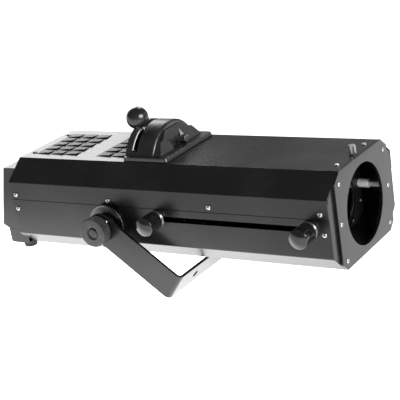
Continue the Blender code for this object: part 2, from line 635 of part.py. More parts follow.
def build_rear(parent):
    """The rear bulkhead, the sloping cover behind it, the base under that, and the feet."""
    rear = -HOUSING_LENGTH
    outline = inner_outline()
    bm = bmesh.new()
    prism(bm, outline, "X", rear, rear + WALL_FLANGE)
    bulkhead = add_piece("rear_bulkhead", bm, BLACK_COAT, parent)
    holes = bmesh.new()
    prism(holes, shifted(outline, SHEET, closed=True), "X", rear + SHEET, rear + 2 * WALL_FLANGE)
    cut(bulkhead, holes, "pocket")
    holes = bmesh.new()
    disc(holes, "X", (rear, 0, BEAM_HEIGHT), FAN_WALL_RADIUS, -SHEET, 2 * SHEET, 48)
    cut(bulkhead, holes, "fan_hole")

    side = [(rear - FIT, REAR_BOTTOM), (rear - FIT, REAR_TOP), (rear - REAR_TOP_DEPTH, REAR_TOP),
            (rear - REAR_BOTTOM_DEPTH, REAR_BOTTOM + REAR_CORNER),
            (rear - BASE_DEPTH, REAR_BOTTOM)]
    bm = bmesh.new()
    prism(bm, rounded(side, (0, 0, REAR_CORNER / 2, REAR_CORNER / 3, 0)), "Y", -REAR_HALF_WIDTH,
          REAR_HALF_WIDTH)
    cover = add_piece("rear_cover", bm, BLACK_COAT, parent)
    inner = shifted(side, SHEET, closed=True)
    inner[0], inner[1] = (rear + SHEET, inner[0][1]), (rear + SHEET, inner[1][1])
    hollow = bmesh.new()
    prism(hollow, inner, "Y", -REAR_HALF_WIDTH + SHEET, REAR_HALF_WIDTH - SHEET)
    cut(cover, hollow, "hollow")
    grille = bmesh.new()
    for i in range(GRILLE_SLOTS):
        z = BEAM_HEIGHT + GRILLE_RISE + (i - (GRILLE_SLOTS - 1) / 2) * GRILLE_PITCH
        prism(grille, stadium(-GRILLE_HALF_LENGTH, GRILLE_HALF_LENGTH, z, GRILLE_SLOT_WIDTH, 4),
              "X", rear - 2 * REAR_BOTTOM_DEPTH, rear - 2 * SHEET)
    cut(cover, grille, "grille")

    low, high = BASE_BOTTOM, REAR_BOTTOM - FIT
    side = [(rear - FIT, low), (rear - FIT, high), (rear - BASE_DEPTH, high),
            (rear - BASE_DEPTH, low)]
    bm = bmesh.new()
    prism(bm, rounded(side, (0, 0, 0, BASE_CORNER)), "Y", -REAR_HALF_WIDTH, REAR_HALF_WIDTH)
    base = add_piece("rear_base", bm, BLACK_COAT, parent)
    hollow = bmesh.new()
    prism(hollow, rectangle(rear - BASE_DEPTH + SHEET, rear + SHEET, low + SHEET, high - SHEET),
          "Y", -REAR_HALF_WIDTH + SHEET, REAR_HALF_WIDTH - SHEET)
    cut(base, hollow, "hollow")

    for name, y in (("foot_near", -FOOT_SPREAD), ("foot_far", FOOT_SPREAD)):
        bm = bmesh.new()
        top = BASE_BOTTOM - FIT
        bottom = top - FOOT_HEIGHT
        lathe(bm, [(0, top), (FOOT_RADIUS, top), (FOOT_HEEL_RADIUS + FOOT_EDGE, bottom + FOOT_EDGE),
                   (FOOT_HEEL_RADIUS, bottom), (0, bottom)], "Z", (rear - FOOT_SETBACK, y, 0), 24)
        add_piece(name, bm, RUBBER, parent)


# Dome, lever and colour sector
def dome_arc(radius, floor, steps):
    """The dome's arc in the YZ plane, from the near foot over the top to the far foot."""
    reach = math.acos((floor - LEVER_HEIGHT) / radius)
    return [(-radius * math.sin(a), LEVER_HEIGHT + radius * math.cos(a))
            for a in (reach - 2 * reach * i / steps for i in range(steps + 1))]


def build_dome(parent):
    """The base plate, the drum over the lever with its curved slot, and the cowl before it."""
    floor = HOUSING_HEIGHT + FIT + DOME_BASE_SHEET
    bm = bmesh.new()
    prism(bm, rounded(rectangle(DOME_BASE_START, DOME_BASE_END, -DOME_BASE_HALF_WIDTH,
                                DOME_BASE_HALF_WIDTH), (DOME_BASE_CORNER,) * 4), "Z",
          HOUSING_HEIGHT + FIT, floor)
    base = add_piece("dome_base", bm, BLACK_PLASTIC, parent)
    hole = bmesh.new()
    box(hole, *dome_opening(), HOUSING_HEIGHT - SHEET, floor + SHEET)
    cut(base, hole, "opening")

    floor += FIT
    steps = 32
    outer = dome_arc(DOME_RADIUS, floor, steps)
    bevel = arc((DOME_END - DOME_FRONT_EDGE, DOME_RADIUS - DOME_FRONT_EDGE), DOME_FRONT_EDGE,
                math.pi / 2, 0, 2)
    stations = [(DOME_START, outer)] + [(x, dome_arc(r, floor, steps)) for x, r in bevel]
    bm = bmesh.new()
    loft(bm, stations)
    drum = add_piece("dome_cover", bm, BLACK_PLASTIC, parent)
    hollow = bmesh.new()
    inner = dome_arc(DOME_RADIUS - DOME_FRONT_EDGE - DOME_WALL, floor - 2 * DOME_WALL, steps)
    prism(hollow, inner, "X", DOME_START + DOME_WALL, DOME_END - DOME_WALL)
    cut(drum, hollow, "hollow")
    slot = bmesh.new()
    rim = [(-r * math.sin(a), LEVER_HEIGHT + r * math.cos(a))
           for r, angles in ((DOME_RADIUS - 4 * DOME_WALL, 1), (DOME_RADIUS + 4 * DOME_WALL, -1))
           for a in (LEVER_SLOT_REACH * angles * (1 - i / 12) for i in range(25))]
    prism(slot, rim, "X", LEVER_X - LEVER_SLOT_WIDTH / 2, LEVER_X + LEVER_SLOT_WIDTH / 2)
    cut(drum, slot, "lever_slot")
    build_cowl(parent, floor)


def loft(bm, stations):
    """Joins outlines of equal length, each in a plane of constant x, into one closed solid."""
    rings = [[bm.verts.new((x, y, z)) for y, z in outline] for x, outline in stations]
    bm.faces.new(rings[0])
    bm.faces.new(list(reversed(rings[-1])))
    for ring_a, ring_b in zip(rings, rings[1:]):
        for i in range(len(ring_a)):
            j = (i + 1) % len(ring_a)
            bm.faces.new((ring_a[i], ring_a[j], ring_b[j], ring_b[i]))


def cowl_front(radius, floor, steps):
    """The cowl's front outline: the drum's arc under a flat ridge, with straight wings below."""
    slope = (COWL_SHOULDER_HEIGHT - floor) / (COWL_FOOT - COWL_SHOULDER)
    reach = math.sqrt(radius ** 2 - (floor - LEVER_HEIGHT) ** 2)
    outline = []
    for y, z in dome_arc(radius, floor, steps):
        z = min(z, COWL_TOP)
        if abs(y) > COWL_SHOULDER:
            along = (abs(y) - COWL_SHOULDER) / (reach - COWL_SHOULDER)
            run = along * (COWL_FOOT - COWL_SHOULDER)
            y = math.copysign(COWL_SHOULDER + run, y)
            z = max(COWL_SHOULDER_HEIGHT - slope * run, floor)
        outline.append((y, z))
    return outline


def build_cowl(parent, floor):
    """The cowl before the drum, with a niche round a block and the drum's lock knob."""
    steps = 24
    back_x, front_x = DOME_END + FIT, DOME_END + COWL_DEPTH
    niche_x = front_x - NICHE_DEPTH
    radius = DOME_RADIUS - DOME_FRONT_EDGE
    bm = bmesh.new()
    loft(bm, ((back_x, dome_arc(radius, floor, steps)), (front_x, cowl_front(radius, floor, steps))))
    cowl = add_piece("dome_cowl", bm, BLACK_PLASTIC, parent)
    hollow = bmesh.new()
    inner = dome_arc(radius - 3 * COWL_WALL, floor - COWL_WALL, steps)
    inner = [(y, min(z, COWL_TOP - 2 * COWL_WALL)) for y, z in inner]
    prism(hollow, inner, "X", back_x - COWL_WALL, niche_x - COWL_WALL)
    cut(cowl, hollow, "hollow")
    niche = bmesh.new()
    niche_floor = DOME_KNOB_HEIGHT - DOME_KNOB_RADIUS - RUNNING_FIT
    prism(niche, [(NICHE_NEAR, NICHE_TOP), (NICHE_NEAR, NICHE_BLOCK_TOP),
                  (NICHE_BLOCK_FAR, NICHE_BLOCK_TOP), (NICHE_BLOCK_FAR, niche_floor),
                  (NICHE_FAR, niche_floor), (NICHE_FAR, NICHE_BLOCK_TOP),
                  (-NICHE_BLOCK_FAR, NICHE_TOP)], "X", niche_x, front_x + COWL_WALL)
    cut(cowl, niche, "niche")
    hole = bmesh.new()
    disc(hole, "X", (0, DOME_KNOB_Y, DOME_KNOB_HEIGHT), DOME_KNOB_STEM_RADIUS + RUNNING_FIT,
         niche_x - 2 * COWL_WALL, front_x, 16)
    cut(cowl, hole, "knob_hole")

    bm = bmesh.new()
    rim = rim_profile(DOME_KNOB_RADIUS, FIT, DOME_KNOB_LENGTH, DOME_KNOB_EDGE, 1)
    lathe(bm, [(0, -DOME_KNOB_STEM), (DOME_KNOB_STEM_RADIUS, -DOME_KNOB_STEM),
               (DOME_KNOB_STEM_RADIUS, FIT)] + rim[1:], "X", steps=24)
    add_piece("dome_lock_knob", bm, BLACK_PLASTIC, parent,
              (niche_x, DOME_KNOB_Y, DOME_KNOB_HEIGHT))


def lever_length():
    """From the shaft to the ball's centre: the ball swings just clear of the drum's skin."""
    return DOME_RADIUS + BALL_CLEARANCE + BALL_RADIUS


def build_lever(parent):
    """The ball lever on its shaft, with the colour sector that hangs into the beam."""
    hub_half = LEVER_HUB_LENGTH / 2
    bm = bmesh.new()
    disc(bm, "X", (0, 0, LEVER_HEIGHT), LEVER_SHAFT_RADIUS, LEVER_X - hub_half - FIT, GATE_X - FIT,
         24)
    add_piece("lever_shaft", bm, STEEL, parent)

    axis = add_empty("lever_axis", parent, (LEVER_X, 0, LEVER_HEIGHT), (LEVER_ANGLE, 0, 0))
    bore = LEVER_SHAFT_RADIUS + FIT
    bm = bmesh.new()
    lathe(bm, [(bore, -hub_half), (LEVER_HUB_RADIUS, -hub_half), (LEVER_HUB_RADIUS, hub_half),
               (bore, hub_half)], "X", steps=32)
    add_piece("lever_hub", bm, STEEL, axis)

    length = lever_length()
    neck = math.sqrt(BALL_RADIUS ** 2 - BALL_NECK_RADIUS ** 2)
    bm = bmesh.new()
    disc(bm, "Z", (0, 0, 0), STEM_RADIUS, LEVER_HUB_RADIUS + FIT, length - neck - FIT, 24)
    add_piece("lever_stem", bm, STEEL, axis)
    bm = bmesh.new()
    turn = math.asin(BALL_NECK_RADIUS / BALL_RADIUS)
    ball = arc((0, length), BALL_RADIUS, -math.pi / 2 + turn, math.pi / 2, 13)
    ball[-1] = (0, length + BALL_RADIUS)
    lathe(bm, [(0, length - neck)] + ball, "Z", steps=28)
    add_piece("lever_ball", bm, BLACK_GLOSS, axis)

    start = hub_half + FIT
    half = SECTOR_STEP + SECTOR_EDGE
    reach = LEVER_HEIGHT - BEAM_HEIGHT
    outline = (arc((0, 0), reach + WINDOW_RADIUS + SECTOR_RIM, -math.pi / 2 - half,
                   -math.pi / 2 + half, 16)
               + arc((0, 0), SECTOR_HUB_RADIUS, 0, math.pi, 10))
    bm = bmesh.new()
    prism(bm, outline, "X", start, start + SECTOR_SHEET)
    sector = add_piece("colour_sector", bm, STEEL, axis)
    holes = bmesh.new()
    disc(holes, "X", (0, 0, 0), bore, start - SHEET, start + 2 * SHEET, 24)
    for step in (-1, 0, 1):
        angle = step * SECTOR_STEP
        disc(holes, "X", (0, reach * math.sin(angle), -reach * math.cos(angle)), WINDOW_RADIUS,
             start - SHEET, start + 2 * SHEET, 20)
    cut(sector, holes, "windows")
    for name, step, glass in (("filter_amber", -1, AMBER_GLASS), ("filter_blue", 1, BLUE_GLASS)):
        angle = step * SECTOR_STEP
        bm = bmesh.new()
        centre = (0, reach * math.sin(angle), -reach * math.cos(angle))
        inset = (SECTOR_SHEET - FILTER_GLASS) / 2
        disc(bm, "X", centre, WINDOW_RADIUS - FIT, start + inset, start + inset + FILTER_GLASS, 20)
        add_piece(name, bm, glass, axis)


# Optics
def lens_profile(radius, edge, bulge, steps=4):
    """The (radius, along) profile of a plano-convex lens: flat at 0, bulging toward +X."""
    curve = (radius ** 2 + bulge ** 2) / (2 * bulge)
    face = []
    for i in range(steps + 1):
        r = radius * (1 - i / steps)
        face.append((r, edge + bulge - (curve - math.sqrt(curve ** 2 - r ** 2))))
    return [(0, 0), (radius, 0)] + face


def build_carriage(name, x, lens_radius, parent):
    """One lens carriage: its plate on the two rods, the glass, its ring, and the side knob."""
    group = add_empty(name + "_axis", parent, (x, 0, 0))
    half, corner = CARRIAGE_HALF_WIDTH, CARRIAGE_CORNER
    outline = [(-half + corner, CARRIAGE_BOTTOM), (half - corner, CARRIAGE_BOTTOM),
               (half, CARRIAGE_BOTTOM + corner * 0.4), (half, CARRIAGE_TOP - corner),
               (half - corner, CARRIAGE_TOP), (-half + corner, CARRIAGE_TOP),
               (-half, CARRIAGE_TOP - corner), (-half, CARRIAGE_BOTTOM + corner * 0.4)]
    back, front = (-PLATE_SETBACK + side * CARRIAGE_PLATE / 2 for side in (-1, 1))
    bm = bmesh.new()
    prism(bm, outline, "X", back, front)
    plate = add_piece(name + "_carriage", bm, BLACK_COAT, group)
    bearings = bmesh.new()
    for side in (-1, 1):
        limits = sorted((side * half, side * (half - BEARING_WIDTH)))
        box(bearings, back, BEARING_FRONT, *limits, ROD_HEIGHT - BEARING_HALF_HEIGHT,
            ROD_HEIGHT + BEARING_HALF_HEIGHT)
    cut(plate, bearings, "bearings", "UNION")
    holes = bmesh.new()
    beam = (0, 0, BEAM_HEIGHT)
    disc(holes, "X", beam, lens_radius - LENS_LEDGE, back - SHEET, front + SHEET, 40)
    for side in (-1, 1):
        disc(holes, "X", (0, side * ROD_SPREAD, ROD_HEIGHT), ROD_RADIUS + FIT, back - SHEET,
             BEARING_FRONT + SHEET, 24)
    cut(plate, holes, "bores")
    seat = bmesh.new()
    disc(seat, "X", beam, lens_radius + FIT, front - LENS_SEAT_DEPTH, front + SHEET, 40)
    cut(plate, seat, "lens_seat")

    bm = bmesh.new()
    seat_x = front - LENS_SEAT_DEPTH + FIT
    lathe(bm, [(r, a + seat_x) for r, a in lens_profile(lens_radius, LENS_EDGE, LENS_BULGE)],
          "X", beam, 40)
    add_piece(name + "_lens", bm, GLASS, group)
    bm = bmesh.new()
    ring_start = front + FIT
    outer = lens_radius + LENS_RING_WIDTH
    inner = lens_radius + FIT
    lip = lens_radius - LENS_RING_LIP
    lip_start = seat_x + LENS_EDGE + 3 * FIT
    ring_end = max(ring_start + LENS_RING_DEPTH, lip_start + LENS_RING_LIP_DEPTH)
    lathe(bm, [(inner, ring_start), (outer, ring_start), (outer, ring_end), (lip, ring_end),
               (lip, lip_start), (inner, lip_start)], "X", beam, 40)
    add_piece(name + "_lens_ring", bm, BLACK_COAT, group)

    wall = tray_half_width()
    stud_in = CARRIAGE_HALF_WIDTH + FIT
    collar_in = wall + RUNNING_FIT
    knob_in = collar_in + SLIDE_COLLAR_LENGTH + FIT
    bm = bmesh.new()
    stud_out = knob_in + SLIDE_STUD_GRIP
    foot_out = stud_in + SLIDE_STUD_FOOT
    lathe(bm, [(0, -stud_in), (SLIDE_STUD_FOOT_RADIUS, -stud_in),
               (SLIDE_STUD_FOOT_RADIUS, -foot_out), (SLIDE_STUD_RADIUS, -foot_out),
               (SLIDE_STUD_RADIUS, -stud_out), (0, -stud_out)], "Y", (0, 0, SLOT_HEIGHT), 24)
    add_piece(name + "_stud", bm, STEEL, group)
    bore = SLIDE_STUD_RADIUS + FIT
    bm = bmesh.new()
    edge = SLIDE_COLLAR_EDGE
    collar = [(bore, 0), (SLIDE_COLLAR_RADIUS - edge, 0), (SLIDE_COLLAR_RADIUS, edge),
              (SLIDE_COLLAR_RADIUS, SLIDE_COLLAR_LENGTH - edge),
              (SLIDE_COLLAR_RADIUS - edge, SLIDE_COLLAR_LENGTH), (bore, SLIDE_COLLAR_LENGTH)]
    lathe(bm, [(r, -collar_in - a) for r, a in collar], "Y", (0, 0, SLOT_HEIGHT), 28)
    add_piece(name + "_collar", bm, ALUMINIUM, group)

    rims = rim_profile(SLIDE_KNOB_RADIUS, 0, SLIDE_KNOB_LENGTH, SLIDE_KNOB_EDGE)
    socket = SLIDE_STUD_GRIP + RUNNING_FIT
    profile = [(0, socket), (bore, socket), (bore, 0)] + rims[1:]
    bm = bmesh.new()
    lathe(bm, [(r, -a) for r, a in profile], "Y", steps=32)
    add_piece(name + "_knob", bm, BLACK_PLASTIC, group, (0, -knob_in, SLOT_HEIGHT))


def build_optics(parent):
    """The guide rods, the gate wall that carries them, and the two carriages."""
    wall = pan("gate_bulkhead", inner_outline(), GATE_X - WALL_FLANGE, GATE_X + SHEET, SHEET,
               BLACK_COAT, parent)
    holes = bmesh.new()
    disc(holes, "X", (GATE_X, 0, BEAM_HEIGHT), GATE_RADIUS, -2 * SHEET, 2 * SHEET, 48)
    for side in (-1, 1):
        disc(holes, "X", (GATE_X, side * ROD_SPREAD, ROD_HEIGHT), ROD_RADIUS + FIT, -2 * SHEET,
             2 * SHEET, 24)
    cut(wall, holes, "bores")
    for name, side in (("guide_rod_near", -1), ("guide_rod_far", 1)):
        bm = bmesh.new()
        disc(bm, "X", (0, side * ROD_SPREAD, ROD_HEIGHT), ROD_RADIUS, GATE_X - ROD_END,
             -SHEET - FIT, 24)
        add_piece(name, bm, STEEL, parent)
    build_carriage("zoom", ZOOM_X, ZOOM_LENS_RADIUS, parent)
    build_carriage("focus", FOCUS_X, FOCUS_LENS_RADIUS, parent)


# Light engine
def build_engine(parent):
    """The heat sink with its LED, the condenser tube, the fan and the power supply."""
    back = SINK_FRONT - SINK_LENGTH
    half = SINK_HALF_WIDTH
    pitch = (2 * half - FIN_THICKNESS) / (FIN_COUNT - 1)
    comb = [(SINK_FRONT, -half), (SINK_FRONT, half)]
    for i in range(FIN_COUNT):
        y = half - i * pitch
        comb += [(back, y), (back, y - FIN_THICKNESS)]
        if i < FIN_COUNT - 1:
            comb += [(SINK_FRONT - SINK_BASE, y - FIN_THICKNESS), (SINK_FRONT - SINK_BASE, y - pitch)]
    bm = bmesh.new()
    prism(bm, comb, "Z", SINK_BOTTOM, 2 * BEAM_HEIGHT - SINK_BOTTOM)
    add_piece("heatsink", bm, DARK_ALUMINIUM, parent)
    for name, side in (("sink_bracket_near", -1), ("sink_bracket_far", 1)):
        start = half + FIT
        floor = SHEET + FIT
        path = [(side * (start + BRACKET_FOOT), floor), (side * start, floor),
                (side * start, BEAM_HEIGHT + BRACKET_RISE)]
        bm = bmesh.new()
        front = SINK_FRONT - BRACKET_SETBACK
        prism(bm, folded_sheet(path, -side * SHEET), "X", front - BRACKET_LENGTH, front)
        add_piece(name, bm, STEEL, parent)

    beam = (SINK_FRONT, 0, BEAM_HEIGHT)
    board_end = FIT + LED_BOARD_SHEET
    bm = bmesh.new()
    disc(bm, "X", beam, LED_BOARD_RADIUS, FIT, board_end, 40)
    add_piece("led_board", bm, CIRCUIT_WHITE, parent)
    bm = bmesh.new()
    disc(bm, "X", beam, EMITTER_RADIUS, board_end + FIT, board_end + FIT + EMITTER_HEIGHT, 32)
    add_piece("led_emitter", bm, EMITTER_YELLOW, parent)

    bore = CONDENSER_RADIUS + FIT
    outer = bore + CONDENSER_TUBE_WALL
    tube_end = FIT + CONDENSER_TUBE_LENGTH
    seat = tube_end - CONDENSER_SEAT
    seat_back = seat - CONDENSER_SEAT_SHEET
    ledge = bore - CONDENSER_SEAT_LEDGE
    flange = outer + CONDENSER_FLANGE
    flange_end = FIT + CONDENSER_FLANGE_SHEET
    bm = bmesh.new()
    lathe(bm, [(bore, FIT), (flange, FIT), (flange, flange_end), (outer, flange_end),
               (outer, tube_end), (bore, tube_end), (bore, seat), (ledge, seat),
               (ledge, seat_back), (bore, seat_back)], "X", beam, 32)
    add_piece("condenser_tube", bm, BLACK_COAT, parent)
    bm = bmesh.new()
    profile = lens_profile(CONDENSER_RADIUS, CONDENSER_EDGE, CONDENSER_BULGE)
    lathe(bm, [(r, a + seat + FIT) for r, a in profile], "X", beam, 32)
    add_piece("condenser_lens", bm, GLASS, parent)

    fan_x = -HOUSING_LENGTH + SHEET + FIT
    bm = bmesh.new()
    size = FAN_HALF_SIZE
    prism(bm, rounded(rectangle(-size, size, BEAM_HEIGHT - size, BEAM_HEIGHT + size),
                      (FAN_CORNER,) * 4, 3), "X", fan_x, fan_x + FAN_DEPTH)
    frame = add_piece("fan_frame", bm, BLACK_PLASTIC, parent)
    duct = bmesh.new()
    disc(duct, "X", (fan_x, 0, BEAM_HEIGHT), FAN_WALL_RADIUS, -SHEET, FAN_DEPTH + SHEET, 48)
    cut(frame, duct, "duct")
    build_fan_centre(parent, fan_x)

    bm = bmesh.new()
    floor = SHEET + FIT
    start = fan_x + FAN_DEPTH + SUPPLY_GAP
    box(bm, start, start + SUPPLY_LENGTH, -SUPPLY_HALF_WIDTH, SUPPLY_HALF_WIDTH, floor,
        floor + SUPPLY_HEIGHT)
    add_piece("power_supply", bm, ALUMINIUM, parent)


def build_fan_centre(parent, fan_x):
    """The fan's motor plate on its four arms, and the rotor that turns before it."""
    bm = bmesh.new()
    reach = FAN_WALL_RADIUS - FIT
    hub_turn = math.asin(FAN_ARM_WIDTH / 2 / FAN_HUB_RADIUS)
    tip_turn = math.asin(FAN_ARM_WIDTH / 2 / reach)
    middle = (0, BEAM_HEIGHT)
    outline = []
    for quarter in range(4):
        base = quarter * math.pi / 2
        outline += arc(middle, reach, base - tip_turn, base + tip_turn, 1)
        outline += arc(middle, FAN_HUB_RADIUS, base + hub_turn, base + math.pi / 2 - hub_turn, 6)
    prism(bm, outline, "X", fan_x, fan_x + FAN_SPIDER_DEPTH)
    add_piece("fan_spider", bm, BLACK_PLASTIC, parent)

    bm = bmesh.new()
    outline = []
    pitch = math.tau / FAN_BLADES
    tip_radius = FAN_WALL_RADIUS - FAN_TIP_CLEARANCE
    for i in range(FAN_BLADES):
        root = i * pitch
        tip = root + pitch * (BLADE_ROOT + BLADE_LEAN)
        outline += arc((0, 0), FAN_HUB_RADIUS, root, root + pitch * BLADE_ROOT, 3)
        outline += arc((0, 0), tip_radius, tip, tip + pitch * BLADE_TIP, 4)
    prism(bm, outline, "X", FAN_SPIDER_DEPTH + RUNNING_FIT, FAN_DEPTH - SHEET)
    add_piece("fan_rotor", bm, BLACK_PLASTIC, parent, (fan_x, 0, BEAM_HEIGHT))


# Yoke
def build_yoke(parent):
    """The yoke bar, bent from one flat strip, its spacers, and the discs that it clamps on."""
    wall = tray_half_width()
    axis = add_empty("yoke_axis", parent, (PIVOT_X, 0, PIVOT_HEIGHT), (0, YOKE_ANGLE, 0))
    disc_in = wall + FIT
    disc_out = disc_in + DISC_THICKNESS
    spacer_in = disc_out + FIT
    spacer_out = spacer_in + SPACER_LENGTH
    arm_in = spacer_out + FIT
    arm_out = arm_in + YOKE_BAR
    half = YOKE_WIDTH / 2
    inner_bend = YOKE_BEND - YOKE_BAR

    # Stations along the strip's middle, as (place, direction across, half the width).
    middle_y = (arm_in + arm_out) / 2
    middle_x = YOKE_REACH - YOKE_BAR / 2
    bend = (YOKE_BEND + inner_bend) / 2
    stations = []
    for i in range(8):
        turn = math.radians(8) + math.radians(82) * i / 7
        stations.append(((-half * math.cos(turn), -middle_y), (0, -1), half * math.sin(turn)))
    for i in range(7):
        turn = math.radians(90) * i / 6
        place = (middle_x - bend + bend * math.sin(turn),
                 -middle_y + bend - bend * math.cos(turn))
        stations.append((place, (math.sin(turn), -math.cos(turn)), half))
    mirrored = [((x, -y), (across[0], -across[1]), width)
                for (x, y), across, width in reversed(stations)]
    bm = bmesh.new()
    rings = []
    for (x, y), across, width in stations + mirrored:
        ring = []
        for out, up in ((1, -1), (1, 1), (-1, 1), (-1, -1)):
            shift = out * YOKE_BAR / 2
            ring.append(bm.verts.new((x + across[0] * shift, y + across[1] * shift, up * width)))
        rings.append(ring)
    bm.faces.new(rings[0])
    bm.faces.new(list(reversed(rings[-1])))
    for ring_a, ring_b in zip(rings, rings[1:]):
        for i in range(4):
            j = (i + 1) % 4
            bm.faces.new((ring_a[i], ring_a[j], ring_b[j], ring_b[i]))
    bar = add_piece("yoke_bar", bm, BLACK_COAT, axis)
    holes = bmesh.new()
    for side in (-1, 1):
        disc(holes, "Y", (0, side * middle_y, 0), CLAMP_STUD_RADIUS + FIT, -YOKE_BAR, YOKE_BAR, 24)
    for y in (-MOUNT_HOLE_SPREAD, 0, MOUNT_HOLE_SPREAD):
        disc(holes, "X", (middle_x, y, 0), MOUNT_HOLE_RADIUS, -YOKE_BAR, YOKE_BAR, 32)
    cut(bar, holes, "holes")

    bore = CLAMP_STUD_RADIUS + FIT
    hub_in = arm_out + FIT
    stud_end = hub_in + CLAMP_STUD_GRIP
    for label, side in (("near", -1), ("far", 1)):
        pivot = (PIVOT_X, 0, PIVOT_HEIGHT)
        bm = bmesh.new()
        lathe(bm, [(bore, side * disc_in), (DISC_RADIUS - DISC_EDGE, side * disc_in),
                   (DISC_RADIUS, side * (disc_in + DISC_EDGE)),
                   (DISC_RADIUS, side * (disc_out - DISC_EDGE)),
                   (DISC_RADIUS - DISC_EDGE, side * disc_out), (bore, side * disc_out)],
              "Y", pivot, 40)
        add_piece("friction_disc_" + label, bm, BLACK_PLASTIC, parent)
        bm = bmesh.new()
        lathe(bm, [(bore, side * spacer_in), (SPACER_RADIUS, side * spacer_in),
                   (SPACER_RADIUS, side * spacer_out), (bore, side * spacer_out)], "Y", steps=28)
        add_piece("yoke_spacer_" + label, bm, BLACK_PLASTIC, axis)
        bm = bmesh.new()
        foot_out = wall - SHEET - FIT
        foot_in = foot_out - CLAMP_STUD_FOOT
        lathe(bm, [(0, side * foot_in), (CLAMP_STUD_FOOT_RADIUS, side * foot_in),
                   (CLAMP_STUD_FOOT_RADIUS, side * foot_out), (CLAMP_STUD_RADIUS, side * foot_out),
                   (CLAMP_STUD_RADIUS, side * stud_end), (0, side * stud_end)], "Y", pivot, 24)
        add_piece("clamp_stud_" + label, bm, STEEL, parent)

        bm = bmesh.new()
        face = CLAMP_HUB_LENGTH + CLAMP_KNOB_LENGTH
        socket = CLAMP_STUD_GRIP + RUNNING_FIT
        dish = face - CLAMP_KNOB_RECESS_DEPTH
        rim = rim_profile(CLAMP_KNOB_RADIUS, CLAMP_HUB_LENGTH, face, CLAMP_KNOB_EDGE)
        profile = ([(0, socket), (bore, socket), (bore, 0), (CLAMP_HUB_RADIUS, 0),
                    (CLAMP_HUB_RADIUS, CLAMP_HUB_LENGTH)] + rim[1:-1]
                   + [(CLAMP_KNOB_RECESS_RADIUS, face), (CLAMP_KNOB_RECESS_RADIUS, dish),
                      (0, dish)])
        lathe(bm, [(r, side * a) for r, a in profile], "Y", steps=36)
        add_piece("yoke_knob_" + label, bm, BLACK_PLASTIC, parent,
                  (PIVOT_X, side * hub_in, PIVOT_HEIGHT))


def build_thumbscrew(parent):
    """The knurled screw on top, which holds an accessory in the front bulkhead's flange."""
    bm = bmesh.new()
    rim = rim_profile(THUMBSCREW_RADIUS, THUMBSCREW_SHOULDER, THUMBSCREW_HEIGHT, THUMBSCREW_EDGE)
    washer = (THUMBSCREW_NECK + THUMBSCREW_RADIUS) / 2
    lathe(bm, [(0, -THUMBSCREW_LENGTH), (THUMBSCREW_NECK, -THUMBSCREW_LENGTH),
               (THUMBSCREW_NECK, 0), (washer, 0), (washer, THUMBSCREW_SHOULDER)] + rim[1:], "Z",
          steps=20)
    add_piece("top_thumbscrew", bm, STEEL, parent, (THUMBSCREW_X, 0, HOUSING_HEIGHT + FIT))


# Power inlet and switch
def build_power(parent):
    """The mains inlet and the rocker switch in the rear base."""
    face = -HOUSING_LENGTH - BASE_DEPTH
    base = bpy.data.objects["rear_base"]
    holes = bmesh.new()
    for y, half in ((INLET_Y, INLET_HALF_WIDTH), (SWITCH_Y, SWITCH_HALF_WIDTH)):
        box(holes, face - SHEET, face + 2 * SHEET, y - half, y + half, POWER_BOTTOM, POWER_TOP)
    cut(base, holes, "power_cutouts")

    low, high = POWER_BOTTOM + FIT, POWER_TOP - FIT
    proud = face - POWER_PROUD
    half = INLET_HALF_WIDTH - FIT
    bm = bmesh.new()
    prism(bm, rounded(rectangle(INLET_Y - half, INLET_Y + half, low, high),
                      (0, 0, INLET_CORNER, INLET_CORNER), 2), "X", proud, face + INLET_DEPTH)
    inlet = add_piece("mains_inlet", bm, BLACK_PLASTIC, parent)
    half -= INLET_WALL
    socket = bmesh.new()
    box(socket, proud - FIT, face + SOCKET_DEPTH, INLET_Y - half, INLET_Y + half,
        low + INLET_WALL, high - INLET_WALL)
    cut(inlet, socket, "socket")

    half = SWITCH_HALF_WIDTH - FIT
    bm = bmesh.new()
    box(bm, proud, face + SWITCH_DEPTH, SWITCH_Y - half, SWITCH_Y + half, low, high)
    frame = add_piece("switch_frame", bm, BLACK_PLASTIC, parent)
    half -= SWITCH_WALL
    well = bmesh.new()
    box(well, proud - FIT, face + SWITCH_WELL_DEPTH, SWITCH_Y - half, SWITCH_Y + half,
        low + SWITCH_WALL, high - SWITCH_WALL)
    cut(frame, well, "well")

    half -= ROCKER_CLEARANCE
    tall = (high - low) / 2 - SWITCH_WALL - ROCKER_CLEARANCE
    bm = bmesh.new()
    back, crest = half - ROCKER_TAPER, half - ROCKER_EDGE
    prism(bm, [(ROCKER_BACK, -back), (ROCKER_BACK, back), (-ROCKER_SHOULDER, half),
               (-ROCKER_CREST, crest), (-ROCKER_DIP, 0), (-ROCKER_CREST, -crest),
               (-ROCKER_SHOULDER, -half)], "Z", -tall, tall)
    rocker = add_piece("switch_rocker", bm, BLACK_PLASTIC, parent,
                       (face + ROCKER_PIVOT_DEPTH, SWITCH_Y, (low + high) / 2))
    rocker.rotation_euler.z = ROCKER_TILT


def stance():
    """The pitch and lift at which the feet and the swung yoke both touch the table."""
    reach = Vector((math.cos(YOKE_ANGLE), -math.sin(YOKE_ANGLE)))
    across = Vector((math.sin(YOKE_ANGLE), math.cos(YOKE_ANGLE)))
    corner = Vector((PIVOT_X, PIVOT_HEIGHT)) + reach * YOKE_REACH - across * YOKE_WIDTH / 2
    heel = Vector((-HOUSING_LENGTH - FOOT_SETBACK - FOOT_HEEL_RADIUS,
                   BASE_BOTTOM - FIT - FOOT_HEIGHT))
    pitch = math.atan2(heel.y - corner.y, corner.x - heel.x)
    lift = -(heel.x * math.sin(pitch) + heel.y * math.cos(pitch))
    return pitch, lift


